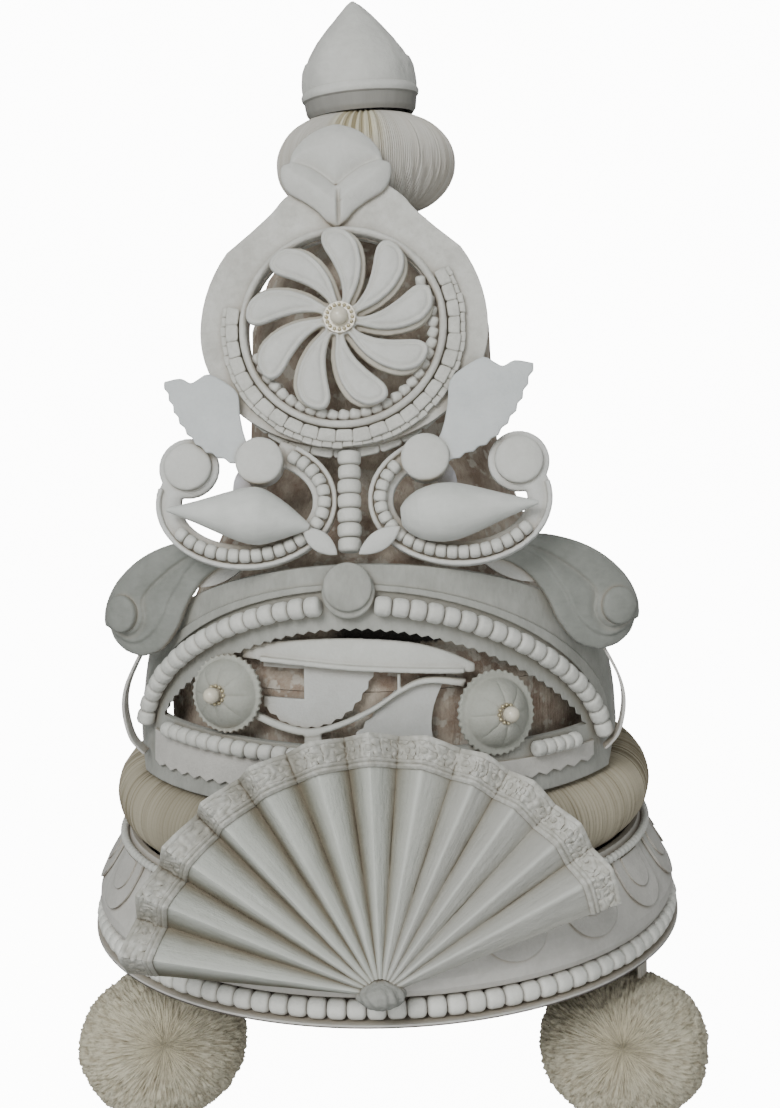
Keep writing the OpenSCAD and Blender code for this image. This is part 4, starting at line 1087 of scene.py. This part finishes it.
# Faces below the band's height take the painted shade.
for face in cap_bud.data.polygons:
    if (bud_place.inverted() @ face.center).z < BUD_BAND:
        face.material_index = 1


# POMPOMS
# Each pompom is a soft ball of finely shredded crepe paper, whose strands run out from its front.
# It is a little wider than high and hangs from the rim on a short flat tape.
POM_R, POM_FLAT, POM_STRANDS, POM_SHORT, POM_RAISED = 0.0368, 0.86, 24, 8.5, math.radians(66)


def shredded_pompom(name, middle, turned, seed):
    nothing_selected()
    bpy.ops.mesh.primitive_uv_sphere_add(segments=560, ring_count=72, radius=1)
    ball = bpy.context.object

    def shredded(p):
        around, lean = max(math.hypot(p.x, p.y), 1e-6), math.acos(max(-1, min(1, p.z)))
        x, y = p.x / around, p.y / around
        out = 0.5 * noise.noise(p * 3 + Vector((seed, 0, 0)))
        strand = noise.noise(Vector((x * POM_STRANDS + out, y * POM_STRANDS, lean * POM_SHORT + seed)))
        fine = noise.noise(Vector((x * 52, y * 52, lean * 14 + seed)))
        broad = 0.030 * noise.noise(p * 1.7 + Vector((seed, 0, 0)))
        broad += 0.016 * noise.noise(p * 5 + Vector((0, seed, 0)))
        loose = min(1, around * 2.2) * (0.030 * strand + 0.014 * fine)
        return p * (0.99 + broad + loose - 0.015 * math.exp(-(lean / 0.12) ** 2))

    pressed(ball, shredded)
    ball.data.transform(Matrix.Translation(middle) @ Matrix.Diagonal((1, 1, POM_FLAT, 1))
                        @ Matrix.Rotation(turned, 4, "Z") @ Matrix.Rotation(POM_RAISED, 4, "X")
                        @ Matrix.Scale(POM_R, 4))
    return smoothed(ball, name)


def pompom_paint(name, middle, turned):
    """Cream crepe in fine short strands, with painted shade, brown, where they part and in the hollows, and
    pale yellow partings near the middle.
    """
    paint = Paint(name, Roughness=0.85)
    spot = paint.node("Mapping", {"vector_type": "TEXTURE"}, {
        "Vector": paint.place(), "Location": middle, "Rotation": (POM_RAISED, 0, turned),
        "Scale": (POM_R, POM_R, POM_R)})
    x, y, z = paint.split(spot)
    drift = paint.noise(spot, 3.2, 3) * 2.2
    around = (x * x + y * y) ** 0.5 + 0.001
    lean = paint.math("ARCCOSINE", z)
    strands = paint.noise(paint.joint(x / around * POM_STRANDS + drift, y / around * POM_STRANDS,
                                      lean * POM_SHORT), 1.0, 4, 0.62)
    parted = paint.ramp(strands, 0.34, 0.54)
    tone = paint.mix(paint.noise(spot, 1.5, 4), (0.62, 0.57, 0.43), (0.80, 0.76, 0.625))
    # Painted shade: the partings between strands go brown, and near the middle pale yellow.
    tone = paint.mix(parted, (0.42, 0.365, 0.265), tone)
    tone = paint.mix(paint.ramp(around, 0.45, 0.0) * parted * 0.8, tone, (0.84, 0.75, 0.52))
    # Painted shade in the hollows.
    paint.feed(Base_Color=paint.mix(paint.open_air(0.014, 0.2, 0.85, 6), (0.30, 0.26, 0.19), tone),
               Normal=paint.bump(strands * 2 + paint.noise(spot, 26, 3) * 0.6, 0.0007))
    return paint.material


for side, middle, turned, seed in (
    ("left", (-0.097, -0.059, -0.0478), 0.23, 31),
    ("right", (0.105, -0.059, -0.0486), -0.10, 32),
):
    mount_piece(shredded_pompom("crepe_ball_" + side, Vector(middle), turned, seed),
                pompom_paint("pompom_crepe_" + side, middle, turned), "pompom_" + side, slot="pompom_paper")
tape_cloth = pith_paint("tape_cloth", (0.50, 0.48, 0.44), (0.60, 0.58, 0.54), 0.0002, 1600, 0.85,
                        streak=(1, 1, 0.25))
finish_nodes(tape_cloth, "straps")


bpy.context.view_layer.update()
